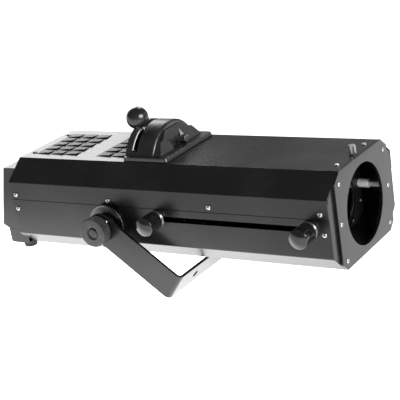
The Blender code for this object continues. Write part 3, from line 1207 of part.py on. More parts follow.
def centre_along_x(frame):
    """Moves the frame so that the pieces reach equally far to both sides of the origin."""
    bpy.context.view_layer.update()
    reaches = [(piece.matrix_world @ vert.co).x for piece in bpy.data.objects
               if piece.type == "MESH" and not piece.hide_render for vert in piece.data.vertices]
    frame.location.x -= (min(reaches) + max(reaches)) / 2


def main():
    """Builds the lamp in an empty scene."""
    for leftover in list(bpy.data.objects):
        bpy.data.objects.remove(leftover, do_unlink=True)
    pitch, lift = stance()
    frame = add_empty("housing_frame", None, (0, 0, lift), (0, -pitch, 0))
    build_tray(frame)
    build_cover(frame)
    build_front(frame)
    build_rear(frame)
    build_power(frame)
    build_engine(frame)
    build_optics(frame)
    build_lever(frame)
    build_dome(frame)
    build_yoke(frame)
    build_thumbscrew(frame)
    centre_along_x(frame)


main()
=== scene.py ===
"""Dresses the followspot: rounded sheet metal, turned and knurled knobs, glass, screws and light.

Every length is in metres. "Housing space" has X along the beam towards the front, Y towards the far
side and Z out of the housing's top, with its origin under the front bulkhead; the housing lies
tilted in the world, on its feet and its yoke.
"""

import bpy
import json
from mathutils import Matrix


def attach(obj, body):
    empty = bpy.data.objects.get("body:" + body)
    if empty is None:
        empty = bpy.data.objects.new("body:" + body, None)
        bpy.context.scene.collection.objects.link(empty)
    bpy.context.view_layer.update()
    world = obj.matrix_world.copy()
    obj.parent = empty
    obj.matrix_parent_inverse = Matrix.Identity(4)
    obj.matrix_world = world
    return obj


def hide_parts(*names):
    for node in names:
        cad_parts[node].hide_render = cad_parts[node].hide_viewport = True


bl_info = {
    "name": "Followspot",
    "version": (1, 0, 0),
    "blender": (4, 5, 0),
    "location": "View3D > Sidebar > Followspot",
    "description": "Builds the visible pieces of the followspot, with their finishes and the studio",
    "category": "Object",
}

import json
import math

import bmesh
import bpy
from mathutils import Matrix, Vector

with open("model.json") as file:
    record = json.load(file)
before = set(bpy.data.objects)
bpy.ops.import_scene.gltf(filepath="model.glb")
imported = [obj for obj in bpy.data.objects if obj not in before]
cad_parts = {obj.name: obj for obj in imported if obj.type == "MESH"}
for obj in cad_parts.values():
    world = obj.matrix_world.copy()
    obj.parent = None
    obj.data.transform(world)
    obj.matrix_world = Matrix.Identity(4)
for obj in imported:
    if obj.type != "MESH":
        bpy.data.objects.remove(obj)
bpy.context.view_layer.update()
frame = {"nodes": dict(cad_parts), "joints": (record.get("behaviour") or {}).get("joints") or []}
JOINTS = {joint["name"]: joint for joint in frame["joints"]}

# Housing space, from the clamps' axis and the directions of two joints
PIVOT = Vector((-0.4247, 0.0, 0.0676))


def housing_space():
    """Gives the matrix from housing space to the world."""
    along = Vector(JOINTS["zoom_slide"]["axis"]).normalized()
    up = Vector(JOINTS["thumbscrew_turn"]["axis"]).normalized()
    turn = Matrix((along, up.cross(along), up)).transposed()
    at = Vector(JOINTS["yoke_tilt"]["pos_m"]) - turn @ PIVOT
    return Matrix.Translation(at) @ turn.to_4x4()


HOUSING = housing_space()
NEAR, FAR, UP, DOWN, FRONT = (Vector(v) for v in (
    (0, -1, 0), (0, 1, 0), (0, 0, 1), (0, 0, -1), (1, 0, 0)))
# For shapes that are made where they stand in housing space
IN_PLACE = Matrix.Identity(4)
# Outer faces of the cover, the tray and the top, and the seat of discs and collars on the sides
COVER_SIDE, TRAY_SIDE, HOUSING_TOP, SIDE_SEAT = 0.1225, 0.1207, 0.164, 0.1212
# Places of the lens carriages along the beam, and the height of their studs
CARRIAGES = {"zoom": -0.3255, "focus": -0.037}
STUD_HEIGHT = 0.0795


# Shader expressions
class Value:
    """A socket's output that takes part in sums; each sum adds its Math node."""

    def __init__(self, finish, socket):
        self.finish, self.socket = finish, socket

    def math(self, operation, other):
        return self.finish.node("ShaderNodeMath", {"operation": operation}, (self, other))

    def __add__(self, other):
        return self.math("ADD", other)

    def __sub__(self, other):
        return self.math("SUBTRACT", other)

    def __mul__(self, other):
        return self.math("MULTIPLY", other)

    def __lt__(self, other):
        return self.math("LESS_THAN", other)

    __radd__ = __add__


class Finish:
    """A material under construction, with its shader's plain settings given first."""

    def __init__(self, name, **settings):
        self.material = bpy.data.materials.new(name)
        self.material.use_nodes = True
        self.tree = self.material.node_tree
        self.shader = self.tree.nodes["Principled BSDF"]
        for socket, value in settings.items():
            self.shader.inputs[socket.replace("_", " ")].default_value = value

    def node(self, kind, settings=None, inputs=(), output=0):
        """Adds a node, sets it, fills its sockets with values or links, and gives one output."""
        node = self.tree.nodes.new(kind)
        for setting, value in (settings or {}).items():
            setattr(node, setting, value)
        pairs = inputs.items() if isinstance(inputs, dict) else enumerate(inputs)
        for socket, value in pairs:
            if isinstance(value, Value):
                self.tree.links.new(value.socket, node.inputs[socket])
            else:
                node.inputs[socket].default_value = value
        return Value(self, node.outputs[output])

    def place(self, scale=(1, 1, 1)):
        """The point on the piece in metres, stretched by a scale."""
        point = self.node("ShaderNodeTexCoord", output="Object")
        return self.node("ShaderNodeVectorMath", {"operation": "MULTIPLY"}, (point, scale))

    def noise(self, scale, detail, stretch=(1, 1, 1)):
        return self.node("ShaderNodeTexNoise", inputs={
            "Vector": self.place(stretch), "Scale": scale, "Detail": detail})

    def clamped(self, value, low, high):
        """Runs smoothly from 0 to 1 while a value goes from low to high."""
        return self.node("ShaderNodeMapRange", {"interpolation_type": "SMOOTHSTEP"},
                         {"Value": value, "From Min": low, "From Max": high})

    def mixed(self, share, colour_a, colour_b):
        return self.node("ShaderNodeMix", {"data_type": "RGBA"},
                         {0: share, 6: colour_a, 7: colour_b}, output=2)

    def bumped(self, height, strength, distance):
        return self.node("ShaderNodeBump", inputs={
            "Strength": strength, "Distance": distance, "Height": height})

    def feed(self, **links):
        """Links values to the shader's sockets, and gives the material."""
        for socket, value in links.items():
            self.tree.links.new(value.socket, self.shader.inputs[socket.replace("_", " ")])
        return self.material

    def specks(self, scale, size, share):
        """Sparse round dots: one in each cell of the given share of cells."""
        cell = {"Vector": self.place(), "Scale": scale}
        near = self.node("ShaderNodeTexVoronoi", inputs=cell, output="Distance")
        pick = self.node("ShaderNodeTexVoronoi", inputs=cell, output="Color")
        red = self.node("ShaderNodeSeparateColor", inputs=(pick,), output=0)
        return (near < size) * (red < share)


def toned(colour, factor=1.0, lift=0.0):
    """A colour with its channels scaled and lifted, and an alpha of 1."""
    return tuple(c * factor + lift for c in colour) + (1,)


def powder_coat(settings, name, dulled=0.0):
    """Satin black powder coat: fine orange peel, cloudy gloss and dust."""
    made = Finish(name, IOR=1.5, Specular_IOR_Level=settings.coat_gloss * (1 - dulled))
    cloud = made.noise(9, 3)
    fine = made.noise(420, 2)
    dust = made.specks(70, 0.035, 0.1)
    colour = made.mixed(made.clamped(cloud * 0.85 + fine * 0.15, 0.35, 0.7),
                        toned(settings.coat_colour), toned(settings.coat_colour, 1.7, 0.002))
    rough = settings.coat_roughness + dulled * 0.25 + (cloud - 0.5) * 0.08 + (fine - 0.5) * 0.03
    return made.feed(
        Base_Color=made.mixed(dust * 0.8, colour, (0.2, 0.2, 0.2, 1)),
        Roughness=rough + dust * 0.2,
        Normal=made.bumped(made.noise(650, 3), 0.05, 0.00006))


def moulded(name, colour, roughness, grain=1400, strength=0.1, ior=1.6):
    """Moulded black plastic or phenolic: dull cloud of gloss, faint grain and hairline rubs."""
    made = Finish(name, IOR=ior)
    cloud = made.noise(60, 3)
    rub = made.clamped(made.noise(300, 5, (1, 1, 6)), 0.6, 0.72)
    return made.feed(
        Base_Color=made.mixed(made.clamped(cloud, 0.4, 0.7) * 0.7 + rub * 0.3,
                              toned(colour), toned(colour, 1.6, 0.004)),
        Roughness=roughness + (cloud - 0.5) * 0.12 + rub * 0.06,
        Normal=made.bumped(made.noise(grain, 2), strength, 0.00006))


def metal(name, colour, roughness, scale=500, stretch=(1, 1, 1)):
    """Bare or plated metal: fine tool marks, cloudy sheen and dull patches."""
    made = Finish(name, Metallic=1.0)
    marks = made.noise(scale, 3, stretch)
    dull = made.clamped(made.noise(120, 4), 0.5, 0.75) * 0.35
    return made.feed(
        Base_Color=made.mixed(dull, toned(colour), toned(colour, 0.45)),
        Roughness=roughness + dull * 0.22 + (marks - 0.5) * 0.16,
        Normal=made.bumped(marks, 0.16, 0.00005))


def rubber(name):
    """Black rubber: matt, chalky in patches, with a fine moulded grain."""
    made = Finish(name, IOR=1.45)
    bloom = made.clamped(made.noise(90, 4), 0.45, 0.75)
    return made.feed(
        Base_Color=made.mixed(bloom * 0.6, (0.014, 0.014, 0.014, 1), (0.045, 0.044, 0.043, 1)),
        Roughness=0.74 + bloom * 0.16,
        Normal=made.bumped(made.noise(1100, 3), 0.3, 0.00012))


def glass(name, colour):
    """Clear or tinted glass with a trace of dust, and a coated sheen."""
    made = Finish(name, IOR=1.52, Transmission_Weight=1.0)
    film = made.clamped(made.noise(35, 5), 0.5, 0.8)
    dust = made.specks(160, 0.06, 0.12)
    return made.feed(
        Base_Color=made.mixed(film * 0.5, toned(colour), toned(colour, 0.9)),
        Roughness=0.02 + film * 0.05 + dust * 0.3)


def board(name, colour, roughness):
    """A painted board or pale resin: slight mottling and fine grain."""
    made = Finish(name, IOR=1.5)
    mottle = made.clamped(made.noise(140, 4), 0.35, 0.75)
    return made.feed(
        Base_Color=made.mixed(mottle * 0.6, toned(colour), toned(colour, 0.75)),
        Roughness=roughness + mottle * 0.1,
        Normal=made.bumped(made.noise(900, 2), 0.08, 0.00006))


# Meshes
def linked(name, data):
    """Makes an object of a mesh, a light or a camera, and puts it in the scene."""
    made = bpy.data.objects.new(name, data)
    bpy.context.scene.collection.objects.link(made)
    return made


def placed(at, outwards, across=None):
    """A matrix that puts a piece made along +Z at a point of housing space, facing outwards."""
    out = Vector(outwards).normalized()
    side = Vector(across or (UP if abs(out.z) < 0.9 else FRONT))
    y = out.cross(side).normalized()
    x = y.cross(out).normalized()
    return Matrix.Translation(at) @ Matrix((x, y, out)).transposed().to_4x4()


def turned(profile, steps=64):
    """Turns a profile of (height, radius) points round Z; ends off the axis stay open."""
    bm = bmesh.new()
    angles = [2 * math.pi * i / steps for i in range(steps)]
    rings = [[bm.verts.new((radius * math.cos(a), radius * math.sin(a), height))
              for a in (angles if radius > 1e-7 else (0,))] for height, radius in profile]
    for low, high in zip(rings, rings[1:]):
        for i in range(steps):
            j = (i + 1) % steps
            corners = [low[i % len(low)], low[j % len(low)], high[j % len(high)], high[i % len(high)]]
            corners = [v for k, v in enumerate(corners) if v is not corners[k - 1]]
            if len(corners) > 2:
                bm.faces.new(corners)
    return bm


def rounded_profile(points, radius, steps=3):
    """Rounds the inner corners of a profile of (height, radius) points."""
    result = [points[0]]
    for before, here, after in zip(points, points[1:], points[2:]):
        here = Vector(here)
        back, on = Vector(before) - here, Vector(after) - here
        reach = min(radius, back.length * 0.45, on.length * 0.45)
        start, end = here + back.normalized() * reach, here + on.normalized() * reach
        for i in range(steps + 1):
            t = i / steps
            result.append(tuple(start * (1 - t) ** 2 + here * 2 * t * (1 - t) + end * t * t))
    return result + [points[-1]]


def knurled(profile, teeth, depth, span, narrow=0.8):
    """Turns a profile in four steps per tooth, and cuts grooves where its height is in the span."""
    bm = turned(profile, teeth * 4)
    low, high = span
    outer = max(radius for _, radius in profile)
    for vert in bm.verts:
        radius = vert.co.xy.length
        if radius < outer * 0.9 or not low <= vert.co.z <= high:
            continue
        angle = math.atan2(vert.co.y, vert.co.x) * teeth
        share = (radius - (outer - depth)) / depth
        cut_by = depth * (0.5 - 0.5 * math.cos(angle)) ** narrow * max(0.0, min(1.0, share))
        vert.co.xy *= 1 - cut_by / radius
    return bm


def lofted(rings):
    """Joins rings of as many (x, y, z) points each, and closes both ends."""
    bm = bmesh.new()
    rows = [[bm.verts.new(point) for point in ring] for ring in rings]
    for low, high in zip(rows, rows[1:]):
        for i in range(len(low)):
            bm.faces.new((low[i - 1], low[i], high[i], high[i - 1]))
    bm.faces.new(rows[0])
    bm.faces.new(list(reversed(rows[-1])))
    return bm


def prism(outline, low, high):
    """Raises an outline of (x, y) points from one height to another."""
    return lofted([[(x, y, z) for x, y in outline] for z in (low, high)])


def along_beam(outline, low, high):
    """Raises an outline of (y, z) points along the beam, from one x to another."""
    return lofted([[(x, y, z) for y, z in outline] for x in (low, high)])


def carved(bm, *cutters):
    """Cuts bmesh shapes out of another, and gives the result as a bmesh."""
    made = []
    for shape in (bm,) + cutters:
        mesh = bpy.data.meshes.new("carving")
        bmesh.ops.remove_doubles(shape, verts=shape.verts, dist=1e-6)
        bmesh.ops.recalc_face_normals(shape, faces=shape.faces)
        shape.to_mesh(mesh)
        shape.free()
        made.append(linked("carving", mesh))
    for cutter in made[1:]:
        boolean = made[0].modifiers.new("cut", "BOOLEAN")
        boolean.operation, boolean.solver, boolean.object = "DIFFERENCE", "EXACT", cutter
    result = bmesh.new()
    result.from_object(made[0], bpy.context.evaluated_depsgraph_get())
    for item in made:
        mesh = item.data
        bpy.data.objects.remove(item)
        bpy.data.meshes.remove(mesh)
    return result


def soften(bm, width, segments=2):
    """Rounds every edge at which the faces turn by more than 32 degrees."""
    edges = [e for e in bm.edges
             if len(e.link_faces) == 2 and e.calc_face_angle(0) > math.radians(32)]
    bmesh.ops.bevel(bm, geom=edges, offset=width, segments=segments, profile=0.5,
                    affect="EDGES", clamp_overlap=True, miter_outer="ARC")
    return bm


def solid_of(node, fold=0.0):
    """Copies a CAD node's solid with its triangles joined, and rounds its sheet metal folds."""
    bm = bmesh.new()
    bm.from_mesh(frame["nodes"][node].data)
    bmesh.ops.remove_doubles(bm, verts=bm.verts, dist=4e-6)
    if fold:
        along = (HOUSING.to_3x3() @ FRONT).normalized()
        for sign, share in ((1, 1.0), (-1, 0.5)):
            folds = [e for e in bm.edges if len(e.link_faces) == 2
                     and math.radians(25) < e.calc_face_angle(0) < math.radians(65)
                     and abs((e.verts[1].co - e.verts[0].co).normalized().dot(along)) > 0.9999
                     and e.calc_face_angle_signed(0) * sign > 0]
            bmesh.ops.bevel(bm, geom=folds, offset=fold * share, segments=4, profile=0.5,
                            affect="EDGES", clamp_overlap=False)
    return bm


def arc(radius, centre, angles):
    """Points (y, z) on a circle about (0, centre), at angles that run from the top to the near side."""
    return [(-radius * math.sin(a), centre + radius * math.cos(a)) for a in angles]


def arch(radius, centre, floor):
    """The arc about (0, centre) from the floor over the top to the floor."""
    reach = math.acos((floor - centre) / radius)
    return arc(radius, centre, (reach * (1 - i / 28) for i in range(57)))


def rounded_box(x, y, z, radius):
    """A block between the (low, high) pairs x, y and z, with its upright edges rounded."""
    corners = ((x[1], y[1], 0), (x[0], y[1], 90), (x[0], y[0], 180), (x[1], y[0], 270))
    outline = []
    for px, py, start in corners:
        cx = px + (radius if px == x[0] else -radius)
        cy = py + (radius if py == y[0] else -radius)
        outline += [(cx + radius * math.cos(a), cy + radius * math.sin(a))
                    for a in (math.radians(start + 18 * k) for k in range(6))]
    return prism(outline, *z)


def joined(shapes):
    """Joins (bmesh, matrix) pairs into one bmesh."""
    result = bmesh.new()
    for shape, matrix in shapes:
        mesh = bpy.data.meshes.new("part")
        shape.to_mesh(mesh)
        mesh.transform(matrix)
        result.from_mesh(mesh)
        bpy.data.meshes.remove(mesh)
    return result


def piece(name, bm, body, look, replaces=(), space=None, sharp=32, weighted=True):
    """Makes a shaded object from a bmesh, which is freed, and lets it ride on its body."""
    if space is not None:
        bm.transform(HOUSING @ space)
    bmesh.ops.recalc_face_normals(bm, faces=bm.faces)
    for face in bm.faces:
        face.smooth = True
    for edge in bm.edges:
        edge.smooth = len(edge.link_faces) == 2 and edge.calc_face_angle(0) < math.radians(sharp)
    mesh = bpy.data.meshes.new(name)
    bm.to_mesh(mesh)
    bm.free()
    if "custom_normal" in mesh.attributes:
        mesh.attributes.remove(mesh.attributes["custom_normal"])
    made = linked(name, mesh)
    mesh.materials.clear()
    mesh.materials.append(finish(look))
    if weighted:
        settle = made.modifiers.new("flat faces stay flat", "WEIGHTED_NORMAL")
        settle.keep_sharp, settle.weight = True, 60
        bpy.context.view_layer.update()
        kept = bpy.data.meshes.new_from_object(
            made.evaluated_get(bpy.context.evaluated_depsgraph_get()))
        made.modifiers.clear()
        made.data = kept
        kept.name = name
        bpy.data.meshes.remove(mesh)
    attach(made, body)
    if replaces:
        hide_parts(*replaces)
    return made


def dress(node, body, look, width, fold=0.0, segments=2):
    """Replaces a CAD node by the same solid with rounded folds and edges."""
    bm = solid_of(node, fold)
    if width:
        soften(bm, width, segments)
    return piece(node + "_skin", bm, body, look, (node,))


def coat_node(look, *nodes):
    """Gives CAD nodes a finish."""
    for node in nodes:
        for holder in frame["nodes"][node].material_slots:
            holder.material = finish(look)


# Settings
class FollowspotShape(bpy.types.PropertyGroup):
    """Sizes of the small forms that the dressing adds."""

    edge: bpy.props.FloatProperty(
        name="Edge rounding", description="Rounding of cut sheet metal edges",
        default=0.00035, min=0.0001, max=0.001, subtype="DISTANCE")
    fold: bpy.props.FloatProperty(
        name="Fold rounding", description="Width of the rounding outside each sheet metal fold",
        default=0.0013, min=0.0002, max=0.003, subtype="DISTANCE")
    screw_radius: bpy.props.FloatProperty(
        name="Screw radius", description="Radius of the pan heads on the housing",
        default=0.004, min=0.002, max=0.006, subtype="DISTANCE")
    clamp_teeth: bpy.props.IntProperty(
        name="Clamp knob knurls", description="Knurls round each clamp knob",
        default=44, min=24, max=96)
    disc_teeth: bpy.props.IntProperty(
        name="Friction disc teeth", description="Fine teeth round each friction disc",
        default=72, min=24, max=120)


class FollowspotFinish(bpy.types.PropertyGroup):
    """Colours and gloss of the pieces."""

    coat_colour: bpy.props.FloatVectorProperty(
        name="Powder coat", description="Colour of the housing and the yoke",
        default=(0.0062, 0.0062, 0.0066), min=0, max=1, size=3, subtype="COLOR")
    coat_roughness: bpy.props.FloatProperty(
        name="Powder coat roughness", description="How far the powder coat blurs what it reflects",
        default=0.27, min=0, max=1, subtype="FACTOR")
    coat_gloss: bpy.props.FloatProperty(
        name="Powder coat reflectance", description="How much the powder coat reflects",
        default=0.39, min=0, max=1, subtype="FACTOR")
    plastic_colour: bpy.props.FloatVectorProperty(
        name="Moulded plastic", description="Colour of the drum and the knobs",
        default=(0.012, 0.012, 0.0125), min=0, max=1, size=3, subtype="COLOR")
    ball_colour: bpy.props.FloatVectorProperty(
        name="Ball", description="Colour of the lever's ball",
        default=(0.008, 0.008, 0.0085), min=0, max=1, size=3, subtype="COLOR")


class FollowspotStudio(bpy.types.PropertyGroup):
    """The floor, the lights and the camera."""

    floor_size: bpy.props.FloatProperty(
        name="Floor size", description="Side of the square floor",
        default=16.0, min=6, max=40, subtype="DISTANCE")
    floor_glow: bpy.props.FloatProperty(
        name="Floor glow", description="How far the floor is lit from below, as a light table is",
        default=0.8, min=0, max=4)
    key_power: bpy.props.FloatProperty(
        name="Key light", description="Power of the softbox before the lens",
        default=76, min=0, max=2000, subtype="POWER")
    rear_power: bpy.props.FloatProperty(
        name="Rear light", description="Power of the wide panel behind and to the left",
        default=43, min=0, max=4000, subtype="POWER")
    focal_length: bpy.props.FloatProperty(
        name="Focal length", description="Focal length on a sensor 36 mm wide, in millimetres",
        default=109.83, min=20, max=300)


# Finishes are made once, when a piece first asks for them
MADE = {}


def finish(name):
    """Gives the named finish of the object."""
    if name in MADE:
        return MADE[name]
    s = bpy.context.scene.followspot_finish
    makers = {
        "coat": (powder_coat, s, "satin_black_coat"),
        "pressed_coat": (powder_coat, s, "dulled_black_coat", 0.45),
        "plastic": (moulded, "satin_black_plastic", s.plastic_colour, 0.3),
        "knob": (moulded, "black_phenolic", s.plastic_colour, 0.22, 900, 0.05),
        "disc": (metal, "turned_black_disc", (0.13, 0.13, 0.135), 0.26, 700),
        "grip": (moulded, "moulded_black_grip", (0.042, 0.042, 0.043), 0.24, 900, 0.05, 1.42),
        "slide": (moulded, "polished_black_phenolic", (0.006, 0.006, 0.0063), 0.15, 900, 0.03),
        "ball": (moulded, "gloss_black_ball", s.ball_colour, 0.23, 500, 0.03),
        "chrome": (metal, "nickel_plate", (0.8, 0.8, 0.81), 0.16),
        "turned": (metal, "turned_aluminium", (0.62, 0.62, 0.64), 0.32, 900),
        "dull_metal": (metal, "dull_turned_steel", (0.3, 0.3, 0.31), 0.34, 900),
        "ground": (metal, "ground_silver_steel", (0.92, 0.92, 0.93), 0.62, 900),
        "bushing": (board, "pale_bushing_resin", (0.86, 0.86, 0.85), 0.45),
        "steel": (metal, "zinc_plated_steel", (0.55, 0.56, 0.58), 0.3),
        "black_metal": (metal, "blacked_aluminium", (0.06, 0.06, 0.062), 0.34, 600),
        "heat_sink": (metal, "extruded_aluminium", (0.5, 0.5, 0.52), 0.36, 300, (1, 1, 8)),
        "rubber": (rubber, "black_rubber"),
        "lens": (glass, "clear_lens_glass", (0.97, 0.985, 0.98)),
        "amber": (glass, "amber_filter_glass", (0.95, 0.48, 0.1)),
        "blue": (glass, "blue_filter_glass", (0.12, 0.34, 0.9)),
        "board": (board, "white_circuit_board", (0.72, 0.72, 0.7), 0.45),
        "phosphor": (board, "phosphor_yellow", (0.8, 0.62, 0.12), 0.55),
        "case": (metal, "punched_supply_case", (0.46, 0.47, 0.48), 0.42, 250),
    }
    maker, *given = makers[name]
    MADE[name] = maker(*given)
    return MADE[name]


class Build:
    """What the operators share: undo, and the settings."""

    bl_options = {"REGISTER", "UNDO"}

    @property
    def shape(self):
        return bpy.context.scene.followspot_shape


class FOLLOWSPOT_OT_studio(Build, bpy.types.Operator):
    """Lays the pale floor, sets the soft lights and puts the camera where the picture was taken"""

    bl_idname = "followspot.studio"
    bl_label = "Floor, Lights and Camera"

    def execute(self, context):
        studio = context.scene.followspot_studio
        half = studio.floor_size / 2
        bm = bmesh.new()
        bm.faces.new([bm.verts.new((x, y, -0.0002)) for x, y in
                      ((-half, -half), (half, -half), (half, half), (-half, half))])
        bmesh.ops.subdivide_edges(bm, edges=bm.edges, cuts=15, use_grid_fill=True)
        mesh = bpy.data.meshes.new("studio_floor")
        bm.to_mesh(mesh)
        bm.free()
        floor = linked("studio_floor", mesh)
        mesh.materials.append(self.floor_finish(studio))
        middle = (-0.05, 0.0, 0.2)
        self.panel("rear_panel", (-2.6, 2.0, 1.15), (-2.6, 0.0, 1.15), (2.0, 1.7), studio.rear_power)
        self.panel("key_panel", (2.1, -0.5, 1.45), middle, (1.7, 1.0), studio.key_power)
        self.panel("glint_panel", (-1.0, 2.3, 1.95), middle, (0.4, 0.3), studio.key_power * 0.15)
        self.panel("right_panel", (1.35, 2.15, 1.08), middle, (1.5, 1.4), studio.key_power * 0.05)
        world = bpy.data.worlds.new("studio")
        world.use_nodes = True
        world.node_tree.nodes["Background"].inputs["Color"].default_value = (0.16, 0.16, 0.165, 1)
        context.scene.world = world
        context.scene.view_settings.view_transform = "Standard"
        self.camera(context, studio)
        return {"FINISHED"}

    @staticmethod
    def floor_finish(studio):
        """Pale paper that glows from below, most of all round the object."""
        paper = Finish("pale_floor", IOR=1.3, Emission_Strength=studio.floor_glow)
        cloud = paper.clamped(paper.noise(0.7, 2), 0.3, 0.7)
        tone = paper.mixed(cloud, (0.9, 0.9, 0.9, 1), (0.93, 0.93, 0.93, 1))
        offset = paper.node("ShaderNodeVectorMath", {"operation": "MULTIPLY"}, (
            paper.node("ShaderNodeVectorMath", {"operation": "ADD"}, (
                paper.place((1, 1, 0)), (0.1, 0.13, 0))), (1 / 0.55, 1 / 0.23, 0)))
        away = paper.node("ShaderNodeVectorMath", {"operation": "LENGTH"}, (offset,), output=1)
        glow = paper.mixed(paper.clamped(away, 0.45, 1.15), (3.5, 3.5, 3.5, 1), (1, 1, 1, 1))
        return paper.feed(Base_Color=tone, Emission_Color=glow, Roughness=0.75 + cloud * 0.05)

    @staticmethod
    def panel(name, at, towards, size, power):
        """Adds a rectangular soft light."""
        data = bpy.data.lights.new(name, "AREA")
        data.shape, data.size, data.size_y = "RECTANGLE", size[0], size[1]
        data.energy = power
        light = linked(name, data)
        light.location = at
        light.rotation_euler = (Vector(towards) - Vector(at)).to_track_quat("-Z", "Y").to_euler()

    @staticmethod
    def camera(context, studio):
        """Puts the camera where the housing's edges in the picture place it."""
        data = bpy.data.cameras.new("picture")
        data.sensor_width, data.lens = 36.0, studio.focal_length
        data.sensor_fit = "HORIZONTAL"
        data.clip_start, data.clip_end = 0.05, 100
        eye = linked("picture", data)
        right = Vector((0.85520765, 0.51661798, -0.04157466)).normalized()
        back = -Vector((-0.49034783, 0.78051201, -0.3877647)).normalized()
        up = back.cross(right).normalized()
        eye.matrix_world = (Matrix.Translation((1.0774782, -1.6775482, 0.954962))
                            @ Matrix((right, up, back)).transposed().to_4x4())
        context.scene.camera = eye


class FOLLOWSPOT_OT_housing(Build, bpy.types.Operator):
    """Rounds the folds and edges of the folded housing and its ends, and turns the rubber feet"""

    bl_idname = "followspot.housing"
    bl_label = "Housing"

    def execute(self, context):
        edge, fold = self.shape.edge, self.shape.fold
        dress("upper_cover", "housing", "coat", edge, fold)
        for node, width in (("front_bulkhead", edge), ("front_plate", edge * 1.6),
                            ("rear_bulkhead", edge), ("rear_cover", edge * 2),
                            ("rear_base", edge * 2), ("gate_bulkhead", edge)):
            dress(node, "housing", "coat", width)
        self.tray(edge, fold)
        self.louvres()
        for node in ("foot_near", "foot_far"):
            dress(node, "housing", "rubber", 0.0005, segments=3)
        return {"FINISHED"}

    @staticmethod
    def tray(edge, fold):
        """The lower tray, with the narrow groove that runs under the cover's edge."""
        bm = soften(solid_of("lower_tray", fold), edge)
        bm.transform(HOUSING.inverted())
        low, high, bottom, outside = 0.0966, 0.0992, TRAY_SIDE - 0.0011, 0.13
        grooves = [along_beam([(sign * bottom, low), (sign * outside, low),
                               (sign * outside, high), (sign * bottom, high)], -0.66, -0.003)
                   for sign in (-1, 1)]
        piece("lower_tray_skin", carved(bm, *grooves), "housing", "coat",
              ("lower_tray",), IN_PLACE)

    @staticmethod
    def louvres():
        """Pressed hoods over the vents, steep on the near side, falling to the far, open in front."""
        along, across, rise, sheet, steep, gap = 0.0285, 0.023, 0.0024, 0.0007, 0.12, 0.00015
        rings = []
        for u in (i / 16 for i in range(17)):
            lift = rise * math.sqrt(u)
            upper = [(u * along, v * across,
                      gap + lift * (v / steep if v < steep else (1 - v) / (1 - steep)))
                     for v in (0, 0.06, steep, 0.18, 0.3, 0.5, 0.75, 1)]
            rings.append(upper + [(x, y, z - sheet) for x, y, z in reversed(upper)])
        hood = lofted(rings)
        fields, pitch_x, pitch_y = ((-0.60475, 3), (-0.46725, 2)), 0.0315, 0.0235
        bm = joined([(hood, Matrix.Translation((first + column * pitch_x - along / 2,
                                                row * pitch_y - across / 2, HOUSING_TOP)))
                     for first, columns in fields
                     for column in range(columns) for row in (-2, -1, 0, 1, 2)])
        hood.free()
        piece("vent_louvres", bm, "housing", "pressed_coat", space=IN_PLACE,
              sharp=40, weighted=False)


def screw_head(radius, height, depth):
    """A domed pan head with a cross recess, standing on the XY plane."""
    profile = [(-0.0004, 0.0), (-0.0004, radius * 0.96), (height * 0.45, radius),
               (height * 0.75, radius * 0.9), (height * 0.95, radius * 0.6), (height, 0.0)]
    head = turned(rounded_profile(profile, radius * 0.25), 28)
    arm, thick = radius * 0.62, radius * 0.19
    corners = ((arm, -thick), (arm, thick), (thick * 1.5, thick * 1.5))
    cross = [(x * c - y * s, x * s + y * c)
             for c, s in ((1, 0), (0, 1), (-1, 0), (0, -1)) for x, y in corners]
    cutter = prism(cross, height - depth, height + 0.001)
    for vert in cutter.verts:
        if vert.co.z < height:
            vert.co.xy *= 0.62
    return carved(head, cutter)


class FOLLOWSPOT_OT_screws(Build, bpy.types.Operator):
    """Adds the plated cross recess screws that hold the housing together"""

    bl_idname = "followspot.screws"
    bl_label = "Screws"

    def execute(self, context):
        radius = self.shape.screw_radius
        places = []
        for way in (NEAR, FAR):
            places += [((x, way.y * COVER_SIDE, 0.1075), way) for x in (-0.628, -0.421, -0.217, -0.014)]
            places += [((x, way.y * TRAY_SIDE, z), way) for x, z in ((-0.6306, 0.08), (-0.011, 0.0729))]
            places += [((0.0037, way.y * y, z), FRONT)
                       for y, z in ((0.085, 0.145), (0.091, 0.08), (0.084, 0.0155))]
            places += [((x, way.y * 0.0515, HOUSING_TOP), UP) for x in (-0.0115, -0.6265)]
            places += [((x, way.y * 0.066, 0.0), DOWN) for x in (-0.6, -0.33, -0.05)]
        head = screw_head(radius, radius * 0.62, radius * 0.56)
        shapes = []
        for i, (at, way) in enumerate(places):
            turn = i * 2.4
            lean, rise = (1, 0) if way is UP else (0.6, 0.8)
            shapes.append((head, placed(at, way, (math.cos(turn), math.sin(turn) * lean, rise))))
        bm = joined(shapes)
        # The dark rings under the heads are painted shade: black discs that stand in for the shadow
        # round each screw head
        ring = turned(rounded_profile([
            (-0.0004, 0.0), (-0.0004, radius * 1.26), (0.0006, radius * 1.22), (0.0007, 0.0)],
            0.0002), 28)
        painted_shade_rings = joined([(ring, matrix) for _, matrix in shapes])
        head.free()
        ring.free()
        piece("screw_painted_shade_rings", painted_shade_rings, "housing", "black_metal",
              space=IN_PLACE, weighted=False)
        piece("housing_screws", bm, "housing", "steel", space=IN_PLACE, weighted=False)
        return {"FINISHED"}


# The drum over the lever, as it was measured on the picture
LEVER_ROOT = Vector((-0.391, 0, 0.147))
DRUM_CENTRE, DRUM_RADIUS, DRUM_WALL, DRUM_EDGE = 0.1403, 0.0743, 0.0025, 0.0045
DRUM_REAR, DRUM_FRONT = -0.4095, -0.3507
BASE_UNDERSIDE, BASE_TOP = 0.1643, 0.171
COWL_FRONT, COWL_LEAN, NICHE_BACK = -0.3355, 0.37, -0.3435


